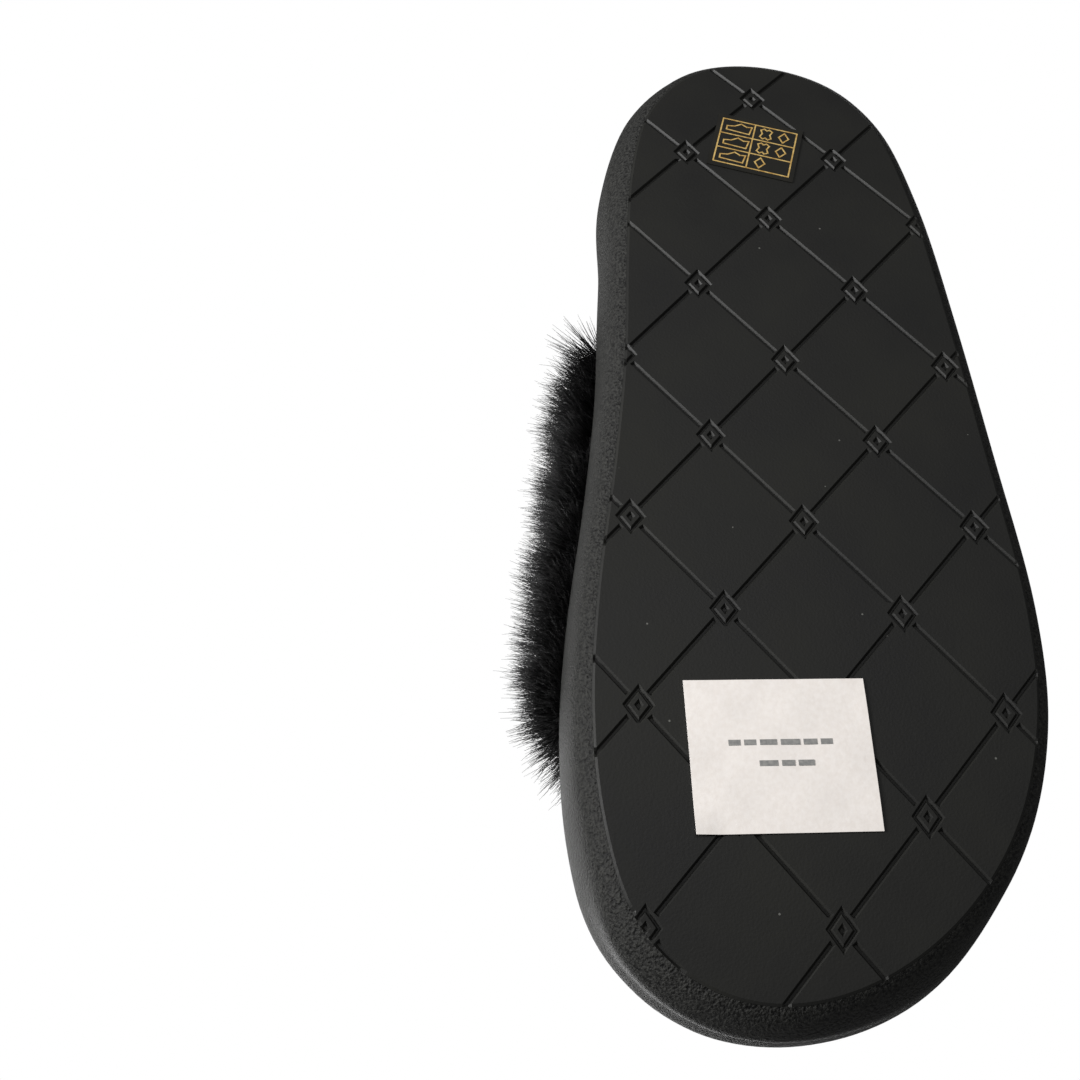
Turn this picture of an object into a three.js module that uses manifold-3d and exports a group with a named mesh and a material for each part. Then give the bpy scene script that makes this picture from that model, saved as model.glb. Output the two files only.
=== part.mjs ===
// A house slide with a deep fluffy band over the instep, right foot.
// Millimetres. +Z is up, the toe points to -Y, the heel to +Y, the big toe side to +X.
// The sole curves up a little at the toe and the heel; every sole layer follows that curve.

import * as THREE from 'three';
import Module from 'manifold-3d';
import { mergeVertices } from 'three/addons/utils/BufferGeometryUtils.js';

const wasm = await Module();
wasm.setup();

// ---------------------------------------------------------------- driving dimensions

const FIT_GAP = 0.3;

// Edge of the flat tread, seen from above, from the toe round the big toe side.
const TREAD_EDGE = [
  [10, -134], [27, -130], [40, -118], [47, -97], [49.3, -72], [48, -45],
  [43.5, -8], [40.5, 25], [39.6, 55], [37.6, 87], [31.5, 112], [17, 130],
  [-2, 134], [-20, 127.5], [-31.5, 112], [-38.5, 84], [-43.6, 45], [-48.2, 0],
  [-52, -42], [-50.7, -71], [-43, -96], [-29, -115.5], [-10, -129],
];
const EDGE_STEPS = 2 * TREAD_EDGE.length;

// Rings are drawn in towards this stretch of the sole's middle line.
const MIDDLE_LINE = { x: -1, toeEnd: -30, heelEnd: 50 };

const SOLE_HALF_LENGTH = 134;
const TOE_SPRING = { starts: -35, rise: 9 };
const HEEL_SPRING = { starts: 55, rise: 4 };

const TREAD_THICK = 3.8;
const TREAD_INSET = -0.25;
const CUP_RECESS_TOP = 4.1;
const CUP_FLOOR = 7.8;
const WALL_INSIDE = 0.6;
const WALL_FULL = 5.3;
// Distance out from the tread edge and height, from the tread up and over the lip.
const WALL_PROFILE = [
  [0.05, 0.25], [1.6, 1.2], [3.1, 3.0], [4.3, 7.0], [5.0, 13.0], [WALL_FULL, 20.0],
  [5.1, 24.5], [4.2, 26.6], [2.8, 27.2], [1.2, 26.8], [WALL_INSIDE, 25.8],
];
const CORE_TOP = 16.7;
const FILLER_BOTTOM = 17.0;
const FILLER_TOP = 18.1;
const BOARD_BOTTOM = 18.4;
const BOARD_TOP = 20.2;
const BED_BOTTOM = 20.5;
const BED_TOP = 28.0;
const COVER_THICK = 1.0;
const COVER_LIFT = 0.4;

// How far inside the tread edge the footbed stands, beside and beyond the band's legs.
const BED_INSET_BAND = 4.6;
const BED_OUTSET_ENDS = 0.2;
const FILLER_INSET_BAND = 24;
const BAND_ZONE = { front: -68, rear: 66, blend: 8 };

// Tread pattern: diagonal grooves that stop short of a lozenge at every crossing.
const LATTICE_START = [1.14, 71.56];
const LATTICE_WIDE = 41.15;
const LATTICE_TALL = 47.5;
const LATTICE_TURN = THREE.MathUtils.degToRad(-1.3);
const GROOVE_WIDE = 1.2;
const GROOVE_DEEP = 0.7;
const GROOVE_STOP = 5.2;
const LOZENGE = { halfWide: 3.7, halfTall: 5.0, stroke: 1.1, coreScale: 0.34 };

// The band, measured from its inner face. Fractions run from the big toe side over the top.
const LEG_BOTTOM = 18.5;
const LEG_INSET = 3.9;
const ARCH_HEIGHT = 62;
const ARCH_RISE_PER_MM = 0.16;
const ARCH_POWER = 2.5;
const BAND_FRONT = { medial: -58, crown: -46, lateral: -50 };
const BAND_REAR = { medial: 44, crown: 34, lateral: 48 };
const LINING_THICK = 1.0;
const WEB_THICK = 0.8;
const PADDING_THICK = 4.0;
const FUR_CLOTH_THICK = 1.4;
const PILE_DEEP = 13;
const PILE_OVERHANG = 8;
const FLANGE_REACH = 15;
const FLANGE_THICK = 0.9;
const ARCH_STEPS = 24;
const BAND_STEPS = 5;
const LEG_CROWDING = 0.7;

const PAPER_LABEL = { at: [8, -81.8], wide: 40.6, tall: 34.4, turn: -3.4, thick: 0.2 };
const CARE_STICKER = { at: [2.8, 98.6], wide: 24, tall: 21.5, turn: 13, thick: 0.15 };

// ---------------------------------------------------------------- helpers

// Height of the tread's underside above the ground at a place along the sole.
function rocker(y) {
  const toeRun = SOLE_HALF_LENGTH + TOE_SPRING.starts;
  const heelRun = SOLE_HALF_LENGTH - HEEL_SPRING.starts;
  const toe = Math.max(0, TOE_SPRING.starts - y) / toeRun;
  const heel = Math.max(0, y - HEEL_SPRING.starts) / heelRun;
  return TOE_SPRING.rise * toe * toe + HEEL_SPRING.rise * heel * heel;
}

function blend(value, from, to) {
  return THREE.MathUtils.smoothstep(value, from, to);
}

function mix(a, b, t) {
  return a + (b - a) * t;
}

const edgeCurve = new THREE.CatmullRomCurve3(
  TREAD_EDGE.map(([x, y]) => new THREE.Vector3(x, y, 0)),
  true,
);
const edgePoints = edgeCurve.getPoints(EDGE_STEPS).slice(0, EDGE_STEPS);
const edgeNormals = edgePoints.map((point, index) => {
  const before = edgePoints[(index + EDGE_STEPS - 1) % EDGE_STEPS];
  const after = edgePoints[(index + 1) % EDGE_STEPS];
  const along = after.clone().sub(before).normalize();
  return new THREE.Vector3(along.y, -along.x, 0);
});

// One ring parallel to the tread edge, or drawn in towards the sole's middle line.
function edgeRing({ out = 0, up = 0, shrink = 1 }) {
  return edgePoints.map((point, index) => {
    const offset = typeof out === 'function' ? out(point.y, point.x) : out;
    const place = point.clone().addScaledVector(edgeNormals[index], offset);
    const along = THREE.MathUtils.clamp(point.y, MIDDLE_LINE.toeEnd, MIDDLE_LINE.heelEnd);
    const middle = new THREE.Vector3(MIDDLE_LINE.x, along, 0);
    const spot = middle.lerp(place, shrink);
    const height = typeof up === 'function' ? up(spot.x, spot.y) : up;
    spot.z = rocker(spot.y) + height;
    return spot;
  });
}

function signedVolume(positions, triangles) {
  let volume = 0;
  for (let i = 0; i < triangles.length; i += 3) {
    const [a, b, c] = [0, 1, 2].map((k) => positions[triangles[i + k]]);
    volume += a.dot(b.clone().cross(c)) / 6;
  }
  return volume;
}

// Closes a ring with triangles in the plane it mostly lies in.
function capTriangles(ring, start, flatten) {
  const contour = ring.map(flatten);
  const turnsLeft = THREE.ShapeUtils.area(contour) > 0;
  const faces = THREE.ShapeUtils.triangulateShape(contour, []);
  return faces.map((face) => {
    const [p, q, r] = face.map((k) => contour[k]);
    const left = (q.x - p.x) * (r.y - p.y) - (q.y - p.y) * (r.x - p.x) > 0;
    const ordered = left === turnsLeft ? face : [face[0], face[2], face[1]];
    return ordered.map((k) => k + start);
  });
}

// A closed solid through a row of rings that all have the same number of points.
function loft(rings, flatten) {
  const count = rings[0].length;
  const positions = rings.flat();
  const triangles = [];
  for (let k = 0; k < rings.length - 1; k += 1) {
    for (let i = 0; i < count; i += 1) {
      const next = (i + 1) % count;
      const a = k * count + i;
      const b = k * count + next;
      triangles.push(a, b, b + count);
      triangles.push(a, b + count, a + count);
    }
  }
  const last = (rings.length - 1) * count;
  for (const face of capTriangles(rings[0], 0, flatten)) {
    triangles.push(face[0], face[2], face[1]);
  }
  for (const face of capTriangles(rings[rings.length - 1], last, flatten)) {
    triangles.push(...face);
  }
  if (signedVolume(positions, triangles) < 0) {
    triangles.reverse();
  }
  const geometry = new THREE.BufferGeometry().setFromPoints(positions);
  geometry.setIndex(triangles);
  return geometry;
}

const fromAbove = (point) => new THREE.Vector2(point.x, point.y);
const fromFront = (point) => new THREE.Vector2(point.x, point.z);
const fromSide = (point) => new THREE.Vector2(point.y, point.z);

function soleSolid(profile) {
  return loft(profile.map(edgeRing), fromAbove);
}

function toManifold(geometry) {
  const bare = geometry.clone();
  bare.deleteAttribute('normal');
  bare.deleteAttribute('uv');
  const merged = mergeVertices(bare);
  return new wasm.Manifold(new wasm.Mesh({
    numProp: 3,
    vertProperties: new Float32Array(merged.attributes.position.array),
    triVerts: new Uint32Array(merged.index.array),
  }));
}

function toGeometry(manifold) {
  const mesh = manifold.getMesh();
  const geometry = new THREE.BufferGeometry();
  geometry.setAttribute('position', new THREE.BufferAttribute(mesh.vertProperties, 3));
  geometry.setIndex(new THREE.BufferAttribute(mesh.triVerts, 1));
  return geometry;
}

function piece(name, geometry, color, roughness) {
  const material = new THREE.MeshStandardMaterial({ color, roughness, metalness: 0 });
  const mesh = new THREE.Mesh(geometry, material);
  mesh.name = name;
  return mesh;
}

// ---------------------------------------------------------------- sole

// 1 beside the band's legs, 0 at the toe and the heel.
function bandZone(y) {
  const front = blend(y, BAND_ZONE.front - BAND_ZONE.blend, BAND_ZONE.front);
  const rear = 1 - blend(y, BAND_ZONE.rear, BAND_ZONE.rear + BAND_ZONE.blend);
  return front * rear;
}

const bedOffset = (y) => mix(BED_OUTSET_ENDS, -BED_INSET_BAND, bandZone(y));
const fillerOffset = (y) => mix(BED_OUTSET_ENDS, -FILLER_INSET_BAND, bandZone(y));

function latticeCrossing(i, j) {
  const across = (j - i) / 2 * LATTICE_WIDE;
  const along = -(i + j) / 2 * LATTICE_TALL;
  const cos = Math.cos(LATTICE_TURN);
  const sin = Math.sin(LATTICE_TURN);
  const x = LATTICE_START[0] + cos * across - sin * along;
  const y = LATTICE_START[1] + sin * across + cos * along;
  return new THREE.Vector3(x, y, rocker(y));
}

// Pulls the end of a groove back so that it stops before the lozenge.
function grooveBar(from, to) {
  const along = to.clone().sub(from);
  const length = along.length() - 2 * GROOVE_STOP;
  const middle = from.clone().add(to).multiplyScalar(0.5);
  middle.z = rocker(middle.y);
  const bar = new THREE.BoxGeometry(GROOVE_WIDE, 2 * GROOVE_DEEP, length);
  const place = new THREE.Matrix4().lookAt(to, from, new THREE.Vector3(0, 0, 1));
  place.setPosition(middle);
  return bar.applyMatrix4(place);
}

function lozengeShape(scale, inset) {
  const slope = Math.hypot(LOZENGE.halfWide, LOZENGE.halfTall);
  const wide = LOZENGE.halfWide * scale - inset * slope / LOZENGE.halfTall;
  const tall = LOZENGE.halfTall * scale - inset * slope / LOZENGE.halfWide;
  return [[wide, 0], [0, tall], [-wide, 0], [0, -tall]].map(
    ([x, y]) => new THREE.Vector2(x, y),
  );
}

// An outlined lozenge with a small solid one in its middle.
function lozengeTools(centre) {
  const ring = new THREE.Shape(lozengeShape(1, 0));
  ring.holes.push(new THREE.Path(lozengeShape(1, LOZENGE.stroke).reverse()));
  const core = new THREE.Shape(lozengeShape(LOZENGE.coreScale, 0));
  const tilt = (rocker(centre.y + 1) - rocker(centre.y - 1)) / 2;
  return [ring, core].map((shape) => {
    const tool = new THREE.ExtrudeGeometry(shape, {
      depth: 2 * GROOVE_DEEP,
      bevelEnabled: false,
    });
    tool.translate(0, 0, -GROOVE_DEEP);
    tool.rotateX(Math.atan(tilt));
    tool.translate(centre.x, centre.y, centre.z);
    return tool;
  });
}

// Cutters for every groove and lozenge that can reach the tread.
function treadCutters() {
  const cutters = [];
  const first = -2;
  const last = 7;
  for (let i = first; i <= last; i += 1) {
    for (let j = first; j <= last; j += 1) {
      const here = latticeCrossing(i, j);
      if (Math.abs(here.x) > 80 || Math.abs(here.y) > 170) {
        continue;
      }
      cutters.push(grooveBar(here, latticeCrossing(i + 1, j)));
      cutters.push(grooveBar(here, latticeCrossing(i, j + 1)));
      cutters.push(...lozengeTools(here));
    }
  }
  return cutters;
}

function treadOutsole() {
  const plate = soleSolid([
    { shrink: 0.1 },
    { shrink: 0.3 },
    { shrink: 0.5 },
    { shrink: 0.7 },
    { shrink: 0.86 },
    { out: TREAD_INSET },
    { out: TREAD_INSET, up: TREAD_THICK },
    { shrink: 0.7, up: TREAD_THICK },
    { shrink: 0.4, up: TREAD_THICK },
    { shrink: 0.1, up: TREAD_THICK },
  ]);
  let solid = toManifold(plate);
  for (const cutter of treadCutters()) {
    solid = solid.subtract(toManifold(cutter));
  }
  return toGeometry(solid);
}

// How far the wall leans in at a height: in at the toe's inner side, out at its outer side
// and at the heel's inner side, where it swells from the foot of the wall.
function wallLean(x, y, up) {
  const toe = 4.4 * blend(x, -32, 18) * blend(up, 4, 20) - 1.5 * blend(up, 1, 8)
    - 1.5 * blend(x, 24, 46) * blend(up, 4, 20);
  const heel = -2.2 * blend(x, 2, 20) * blend(y, 64, 92) * blend(up, 1, 8);
  return toe * blend(-y, 104, 124) + heel;
}

// One ring of the wall. The lean keeps the lip's shape.
function wallRing([out, up]) {
  const flare = (out - WALL_INSIDE) / (WALL_FULL - WALL_INSIDE);
  return { out: (y, x) => out - flare * wallLean(x, y, up), up };
}

// The wall flares quickly above the tread, stands nearly upright, then rolls in.
function cupSole() {
  return soleSolid([
    { shrink: 0.1, up: CUP_RECESS_TOP },
    { shrink: 0.4, up: CUP_RECESS_TOP },
    { shrink: 0.7, up: CUP_RECESS_TOP },
    { out: 0.05, up: CUP_RECESS_TOP },
    ...WALL_PROFILE.map(wallRing),
    { out: WALL_INSIDE, up: CUP_FLOOR },
    { shrink: 0.7, up: CUP_FLOOR },
    { shrink: 0.4, up: CUP_FLOOR },
    { shrink: 0.1, up: CUP_FLOOR },
  ]);
}

// A flat layer inside the cup.
function innerLayer(out, bottom, top) {
  return soleSolid([
    { out, shrink: 0.1, up: bottom },
    { out, shrink: 0.4, up: bottom },
    { out, shrink: 0.7, up: bottom },
    { out, up: bottom },
    { out, up: top },
    { out, shrink: 0.7, up: top },
    { out, shrink: 0.4, up: top },
    { out, shrink: 0.1, up: top },
  ]);
}

// The foot side of the foam: heel cup, arch support and a low ridge under the toes.
function bedHeight(x, y) {
  const heelCup = -3.2 * Math.exp(-((x / 24) ** 2) - ((y - 92) / 34) ** 2);
  const arch = 2.6 * Math.exp(-(((x - 30) / 14) ** 2) - ((y - 12) / 28) ** 2);
  const ballHollow = -1.6 * Math.exp(-((x / 30) ** 2) - ((y + 55) / 20) ** 2);
  const toeRidge = 1.0 * Math.exp(-(((y + 84) / 9) ** 2) - (x / 30) ** 2);
  return BED_TOP + heelCup + arch + ballHollow + toeRidge;
}

function footbedFoam() {
  const side = (y) => bedOffset(y) - COVER_THICK - FIT_GAP;
  return soleSolid([
    { shrink: 0.1, up: BED_BOTTOM },
    { shrink: 0.4, up: BED_BOTTOM },
    { shrink: 0.7, up: BED_BOTTOM },
    { out: side, up: BED_BOTTOM },
    { out: side, up: 26.0 },
    { out: (y) => side(y) - 1.5, up: 27.3 },
    { out: bedOffset, shrink: 0.82, up: bedHeight },
    { out: bedOffset, shrink: 0.6, up: bedHeight },
    { out: bedOffset, shrink: 0.35, up: bedHeight },
    { out: bedOffset, shrink: 0.1, up: bedHeight },
  ]);
}

// A cap of cloth-faced foam sheet that covers the foam's top and its side.
function footbedCover() {
  const inside = (y) => bedOffset(y) - COVER_THICK;
  const under = (x, y) => bedHeight(x, y) + COVER_LIFT;
  const over = (x, y) => bedHeight(x, y) + COVER_LIFT + COVER_THICK;
  return soleSolid([
    { out: bedOffset, shrink: 0.1, up: under },
    { out: bedOffset, shrink: 0.35, up: under },
    { out: bedOffset, shrink: 0.6, up: under },
    { out: bedOffset, shrink: 0.82, up: under },
    { out: (y) => inside(y) - 1.6, up: 28.1 },
    { out: inside, up: 26.7 },
    { out: inside, up: BED_BOTTOM },
    { out: bedOffset, up: BED_BOTTOM },
    { out: bedOffset, up: 26.8 },
    { out: (y) => bedOffset(y) - 0.5, up: 28.2 },
    { out: (y) => bedOffset(y) - 2.2, up: 29.2 },
    { out: bedOffset, shrink: 0.82, up: over },
    { out: bedOffset, shrink: 0.6, up: over },
    { out: bedOffset, shrink: 0.35, up: over },
    { out: bedOffset, shrink: 0.1, up: over },
  ]);
}

// ---------------------------------------------------------------- band

// Middle and half width of the tread at a place along the sole.
function soleSpan(y) {
  const crossings = [];
  edgePoints.forEach((point, index) => {
    const next = edgePoints[(index + 1) % EDGE_STEPS];
    if ((point.y - y) * (next.y - y) <= 0 && point.y !== next.y) {
      crossings.push(mix(point.x, next.x, (y - point.y) / (next.y - point.y)));
    }
  });
  const medial = Math.max(...crossings);
  const lateral = Math.min(...crossings);
  return { middle: (medial + lateral) / 2, half: (medial - lateral) / 2 };
}

// The band's inner face at a fraction of the way over the foot.
function archFace(fraction, y) {
  const angle = Math.PI * fraction;
  const span = soleSpan(y);
  const reach = span.half - LEG_INSET;
  const rise = ARCH_HEIGHT + ARCH_RISE_PER_MM * y;
  const cos = Math.cos(angle);
  const sin = Math.max(0, Math.sin(angle));
  const side = Math.sign(cos);
  const x = span.middle + reach * side * Math.abs(cos) ** (2 / ARCH_POWER);
  const z = LEG_BOTTOM + rocker(y) + rise * sin ** (2 / ARCH_POWER);
  const normalX = side * Math.abs(cos) ** (2 - 2 / ARCH_POWER) / reach;
  const normalZ = sin ** (2 - 2 / ARCH_POWER) / rise;
  const normal = new THREE.Vector3(normalX, 0, normalZ).normalize();
  return { point: new THREE.Vector3(x, y, z), normal };
}

// Layers lie flat in the cup and open out above it to make room for the padding.
const aboveCup = (z) => blend(z, 27.5, 36);
const paddingSwell = (z) => blend(z, 34, 46);
const pileSwell = (z) => blend(z, 27.6, 42);

const liningFace = () => 0;
const liningBack = () => LINING_THICK;
const paddingFace = () => LINING_THICK + FIT_GAP;
const paddingBack = (z) => mix(0.8, PADDING_THICK, paddingSwell(z)) + LINING_THICK + FIT_GAP;
const webFace = (z) => LINING_THICK + FIT_GAP + (PADDING_THICK + 2 * FIT_GAP) * aboveCup(z);
const webBack = (z) => webFace(z) + WEB_THICK;
const furFace = (z) => webBack(z) + FIT_GAP;
const furBack = (z) => furFace(z) + FUR_CLOTH_THICK + PILE_DEEP * pileSwell(z);

function bandEdge(edge, fraction) {
  const straight = mix(edge.medial, edge.lateral, fraction);
  const lift = edge.crown - (edge.medial + edge.lateral) / 2;
  return straight + lift * Math.sin(Math.PI * fraction);
}

// Steps over the arch, closest together down the legs where the layers open out.
function archFraction(index, start) {
  const even = index / ARCH_STEPS;
  const eased = even - LEG_CROWDING * Math.sin(2 * Math.PI * even) / (2 * Math.PI);
  return mix(start, 1 - start, eased);
}

function layerPoint(fraction, y, depth) {
  const { point, normal } = archFace(fraction, y);
  return point.clone().addScaledVector(normal, depth(point.z - rocker(y)));
}

// Place along the sole for one station of a layer, with any overhang at its edges.
function stationY(fraction, station, overhang) {
  const front = bandEdge(BAND_FRONT, fraction);
  const rear = bandEdge(BAND_REAR, fraction);
  const height = archFace(fraction, (front + rear) / 2).point.z;
  const extra = overhang * pileSwell(height);
  return mix(front - extra, rear + extra, station);
}

function bandLayer(face, back, start, overhang = 0) {
  const rings = [];
  for (let s = 0; s <= BAND_STEPS; s += 1) {
    const inner = [];
    const outer = [];
    for (let i = 0; i <= ARCH_STEPS; i += 1) {
      const fraction = archFraction(i, start);
      const y = stationY(fraction, s / BAND_STEPS, overhang);
      inner.push(layerPoint(fraction, y, face));
      outer.push(layerPoint(fraction, y, back));
    }
    rings.push([...inner, ...outer.reverse()]);
  }
  return loft(rings, fromFront);
}

// The load-bearing web runs down both legs and turns in under the insole board.
function bandWeb() {
  const rings = [];
  for (let s = 0; s <= BAND_STEPS; s += 1) {
    const station = s / BAND_STEPS;
    const inner = [];
    const outer = [];
    for (let i = 0; i <= ARCH_STEPS; i += 1) {
      const fraction = archFraction(i, 0);
      const y = stationY(fraction, station, 0);
      inner.push(layerPoint(fraction, y, webFace));
      outer.push(layerPoint(fraction, y, webBack));
    }
    const foot = (point, side) => {
      const base = FILLER_BOTTOM + rocker(point.y);
      const tip = point.x - side * FLANGE_REACH;
      return {
        heel: new THREE.Vector3(point.x + side * WEB_THICK, point.y, base),
        tipLow: new THREE.Vector3(tip, point.y, base),
        tipHigh: new THREE.Vector3(tip, point.y, base + FLANGE_THICK),
        bend: new THREE.Vector3(point.x, point.y, base + FLANGE_THICK),
      };
    };
    const medial = foot(inner[0], 1);
    const lateral = foot(inner[ARCH_STEPS], -1);
    rings.push([
      medial.tipHigh, medial.bend, ...inner,
      lateral.bend, lateral.tipHigh, lateral.tipLow, lateral.heel,
      ...outer.reverse(),
      medial.heel, medial.tipLow,
    ]);
  }
  return loft(rings, fromFront);
}

// Tape over one edge of the band: a strip on the foot side and a web across the edge.
function edgeBinding(edge, direction) {
  const start = 0.06;
  const tape = 0.8;
  const grip = 7;
  const rings = [];
  for (let i = 0; i <= ARCH_STEPS; i += 1) {
    const fraction = archFraction(i, start);
    const at = bandEdge(edge, fraction);
    const outside = at + direction * (2 * FIT_GAP + tape);
    const beside = at + direction * 2 * FIT_GAP;
    const inside = at - direction * grip;
    const corner = (y, depth) => layerPoint(fraction, y, depth);
    const under = () => -(2 * FIT_GAP + tape);
    const flap = () => -2 * FIT_GAP;
    const top = (z) => webBack(z) - FIT_GAP;
    rings.push([
      corner(inside, under), corner(outside, under), corner(outside, top),
      corner(beside, top), corner(beside, flap), corner(inside, flap),
    ]);
  }
  return loft(rings, fromSide);
}

// A line of thread lying on the tape, a little way in from the band's edge.
function edgeStitching(edge, direction) {
  const start = 0.07;
  const fromEdge = 4;
  const path = [];
  for (let i = 0; i <= ARCH_STEPS; i += 1) {
    const fraction = archFraction(i, start);
    const y = bandEdge(edge, fraction) - direction * fromEdge;
    path.push(layerPoint(fraction, y, () => -2.1));
  }
  const section = new THREE.Shape();
  section.absarc(0, 0, 0.35, 0, 2 * Math.PI, false);
  const tube = new THREE.ExtrudeGeometry(section, {
    steps: 24,
    curveSegments: 3,
    bevelEnabled: false,
    extrudePath: new THREE.CatmullRomCurve3(path),
  });
  return toGeometry(toManifold(tube));
}

// ---------------------------------------------------------------- labels

// A thin rectangle that lies against the tread and follows its curve.
function treadSheet({ at, wide, tall, turn, thick }) {
  const sheet = new THREE.BoxGeometry(wide, tall, thick, 6, 8, 1);
  sheet.rotateZ(THREE.MathUtils.degToRad(turn));
  sheet.translate(at[0], at[1], -FIT_GAP - thick / 2);
  const spots = sheet.attributes.position;
  for (let i = 0; i < spots.count; i += 1) {
    spots.setZ(i, spots.getZ(i) + rocker(spots.getY(i)));
  }
  return toGeometry(toManifold(sheet));
}

// ---------------------------------------------------------------- assembly

const slipper = new THREE.Group();
slipper.name = 'fluffy_house_slide';

const sole = new THREE.Group();
sole.add(piece('tread_outsole', treadOutsole(), 0x2b2b29, 0.62));
sole.add(piece('cup_sole', cupSole(), 0x232322, 0.78));
sole.add(piece('cushion_core', innerLayer(0.2, CUP_FLOOR + FIT_GAP, CORE_TOP), 0x4a4a48, 0.9));
sole.add(piece('bottom_filler', innerLayer(fillerOffset, FILLER_BOTTOM, FILLER_TOP), 0x8a8478, 0.95));
sole.add(piece('insole_board', innerLayer(bedOffset, BOARD_BOTTOM, BOARD_TOP), 0x7d6a4f, 0.9));
sole.add(piece('footbed_foam', footbedFoam(), 0x3a3a3c, 0.95));
sole.add(piece('footbed_cover', footbedCover(), 0x1d1d1e, 0.9));
slipper.add(sole);

const band = new THREE.Group();
band.add(piece('band_lining', bandLayer(liningFace, liningBack, 0), 0x1e1e1f, 0.9));
band.add(piece('band_padding', bandLayer(paddingFace, paddingBack, 0.085, -2.5), 0xb9b4a4, 0.95));
band.add(piece('band_web', bandWeb(), 0x5c5a55, 0.85));
band.add(piece('fur_shell', bandLayer(furFace, furBack, 0, PILE_OVERHANG), 0x0e0e0f, 0.95));
band.add(piece('front_binding', edgeBinding(BAND_FRONT, -1), 0x161617, 0.85));
band.add(piece('rear_binding', edgeBinding(BAND_REAR, 1), 0x161617, 0.85));
band.add(piece('front_stitching', edgeStitching(BAND_FRONT, -1), 0x101011, 0.6));
band.add(piece('rear_stitching', edgeStitching(BAND_REAR, 1), 0x101011, 0.6));
slipper.add(band);

const labels = new THREE.Group();
labels.add(piece('paper_label', treadSheet(PAPER_LABEL), 0xe9e8e6, 0.7));
labels.add(piece('material_sticker', treadSheet(CARE_STICKER), 0x1b1a16, 0.25));
slipper.add(labels);

// The origin is on the ground under the middle of the slide's outline.
const extent = new THREE.Box3().setFromObject(slipper);
const middle = extent.getCenter(new THREE.Vector3());
slipper.position.set(-middle.x, -middle.y, 0);

export default slipper;
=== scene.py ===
import math

import bpy
import numpy as np
from bpy.props import FloatProperty, FloatVectorProperty, IntProperty, PointerProperty
from mathutils import Matrix, Vector
from mathutils.bvhtree import BVHTree
from mathutils.geometry import delaunay_2d_cdt


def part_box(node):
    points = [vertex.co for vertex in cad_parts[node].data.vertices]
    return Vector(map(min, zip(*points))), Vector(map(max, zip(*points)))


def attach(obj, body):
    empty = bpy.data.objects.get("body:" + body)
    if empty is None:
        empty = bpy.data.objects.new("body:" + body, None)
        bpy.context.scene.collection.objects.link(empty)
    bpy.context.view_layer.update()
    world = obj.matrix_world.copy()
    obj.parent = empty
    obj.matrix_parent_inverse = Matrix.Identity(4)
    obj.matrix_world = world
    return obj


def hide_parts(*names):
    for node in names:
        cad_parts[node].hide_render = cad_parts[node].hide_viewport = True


bl_info = {
    "name": "Fluffy House Slide",
    "version": (1, 0, 0),
    "blender": (4, 5, 0),
    "location": "View3D > Sidebar > Slide",
    "description": "Builds the finished surfaces of a fluffy house slide on its frame",
    "category": "Add Mesh",
}

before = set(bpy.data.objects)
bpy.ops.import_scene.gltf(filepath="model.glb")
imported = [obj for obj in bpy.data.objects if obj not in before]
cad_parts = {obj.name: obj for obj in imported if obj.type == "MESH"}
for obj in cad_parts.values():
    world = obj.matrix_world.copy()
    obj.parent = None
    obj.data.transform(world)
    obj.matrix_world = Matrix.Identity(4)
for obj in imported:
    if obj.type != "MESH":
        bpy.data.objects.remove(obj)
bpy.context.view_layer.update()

# ------------------------------------------------------------------ sizes, millimetres
# Before the frame's shift: the same outline, layers and pattern as the solids.

MM = 0.001
TREAD_EDGE = [
    (10, -134), (27, -130), (40, -118), (47, -97), (49.3, -72), (48, -45),
    (43.5, -8), (40.5, 25), (39.6, 55), (37.6, 87), (31.5, 112), (17, 130),
    (-2, 134), (-20, 127.5), (-31.5, 112), (-38.5, 84), (-43.6, 45), (-48.2, 0),
    (-52, -42), (-50.7, -71), (-43, -96), (-29, -115.5), (-10, -129),
]
EDGE_COUNT = 280
HALF_LENGTH = 134.0
TOE_START, TOE_RISE = -35.0, 9.0
HEEL_START, HEEL_RISE = 55.0, 4.0
MIDDLE_X, MIDDLE_TOE, MIDDLE_HEEL = -1.0, -30.0, 50.0

LATTICE_START = (1.14, 71.56)
LATTICE_WIDE, LATTICE_TALL = 41.15, 47.5
LATTICE_TURN = math.radians(-1.3)
LATTICE_CELLS = range(-2, 8)
LATTICE_REACH = (80.0, 170.0)
GROOVE_STOP = 3.4
LOZENGE_WIDE, LOZENGE_TALL = 3.7, 5.0
LOZENGE_STROKE, CORE_SCALE, DRAFT = 1.3, 0.3, 0.5
PLATE_TOP, PLATE_INSET, PLATE_SIDE, PLATE_BEVEL = 3.6, 0.55, 0.56, 0.28
FLAT_STEP = 4.0

RECESS_TOP, CUP_FLOOR = 4.1, 7.8
WALL_INSIDE, WALL_FULL = 0.6, 5.25
BED_BOTTOM, COVER_GAP, COVER_TOP = 20.5, 0.4, 1.4

LEG_BOTTOM, LEG_INSET = 18.5, 3.9
ARCH_HEIGHT, ARCH_RISE, ARCH_POWER = 62.0, 0.16, 2.5
BAND_FRONT = (-58.0, -46.0, -50.0)
BAND_REAR = (44.0, 34.0, 48.0)

LINING_STEPS = 40
EDGE_ROLL = 7.0
SHORT_TUFT = 0.45
STITCH_FROM_EDGE, BED_STITCH_INSET = 4.5, 4.6

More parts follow.
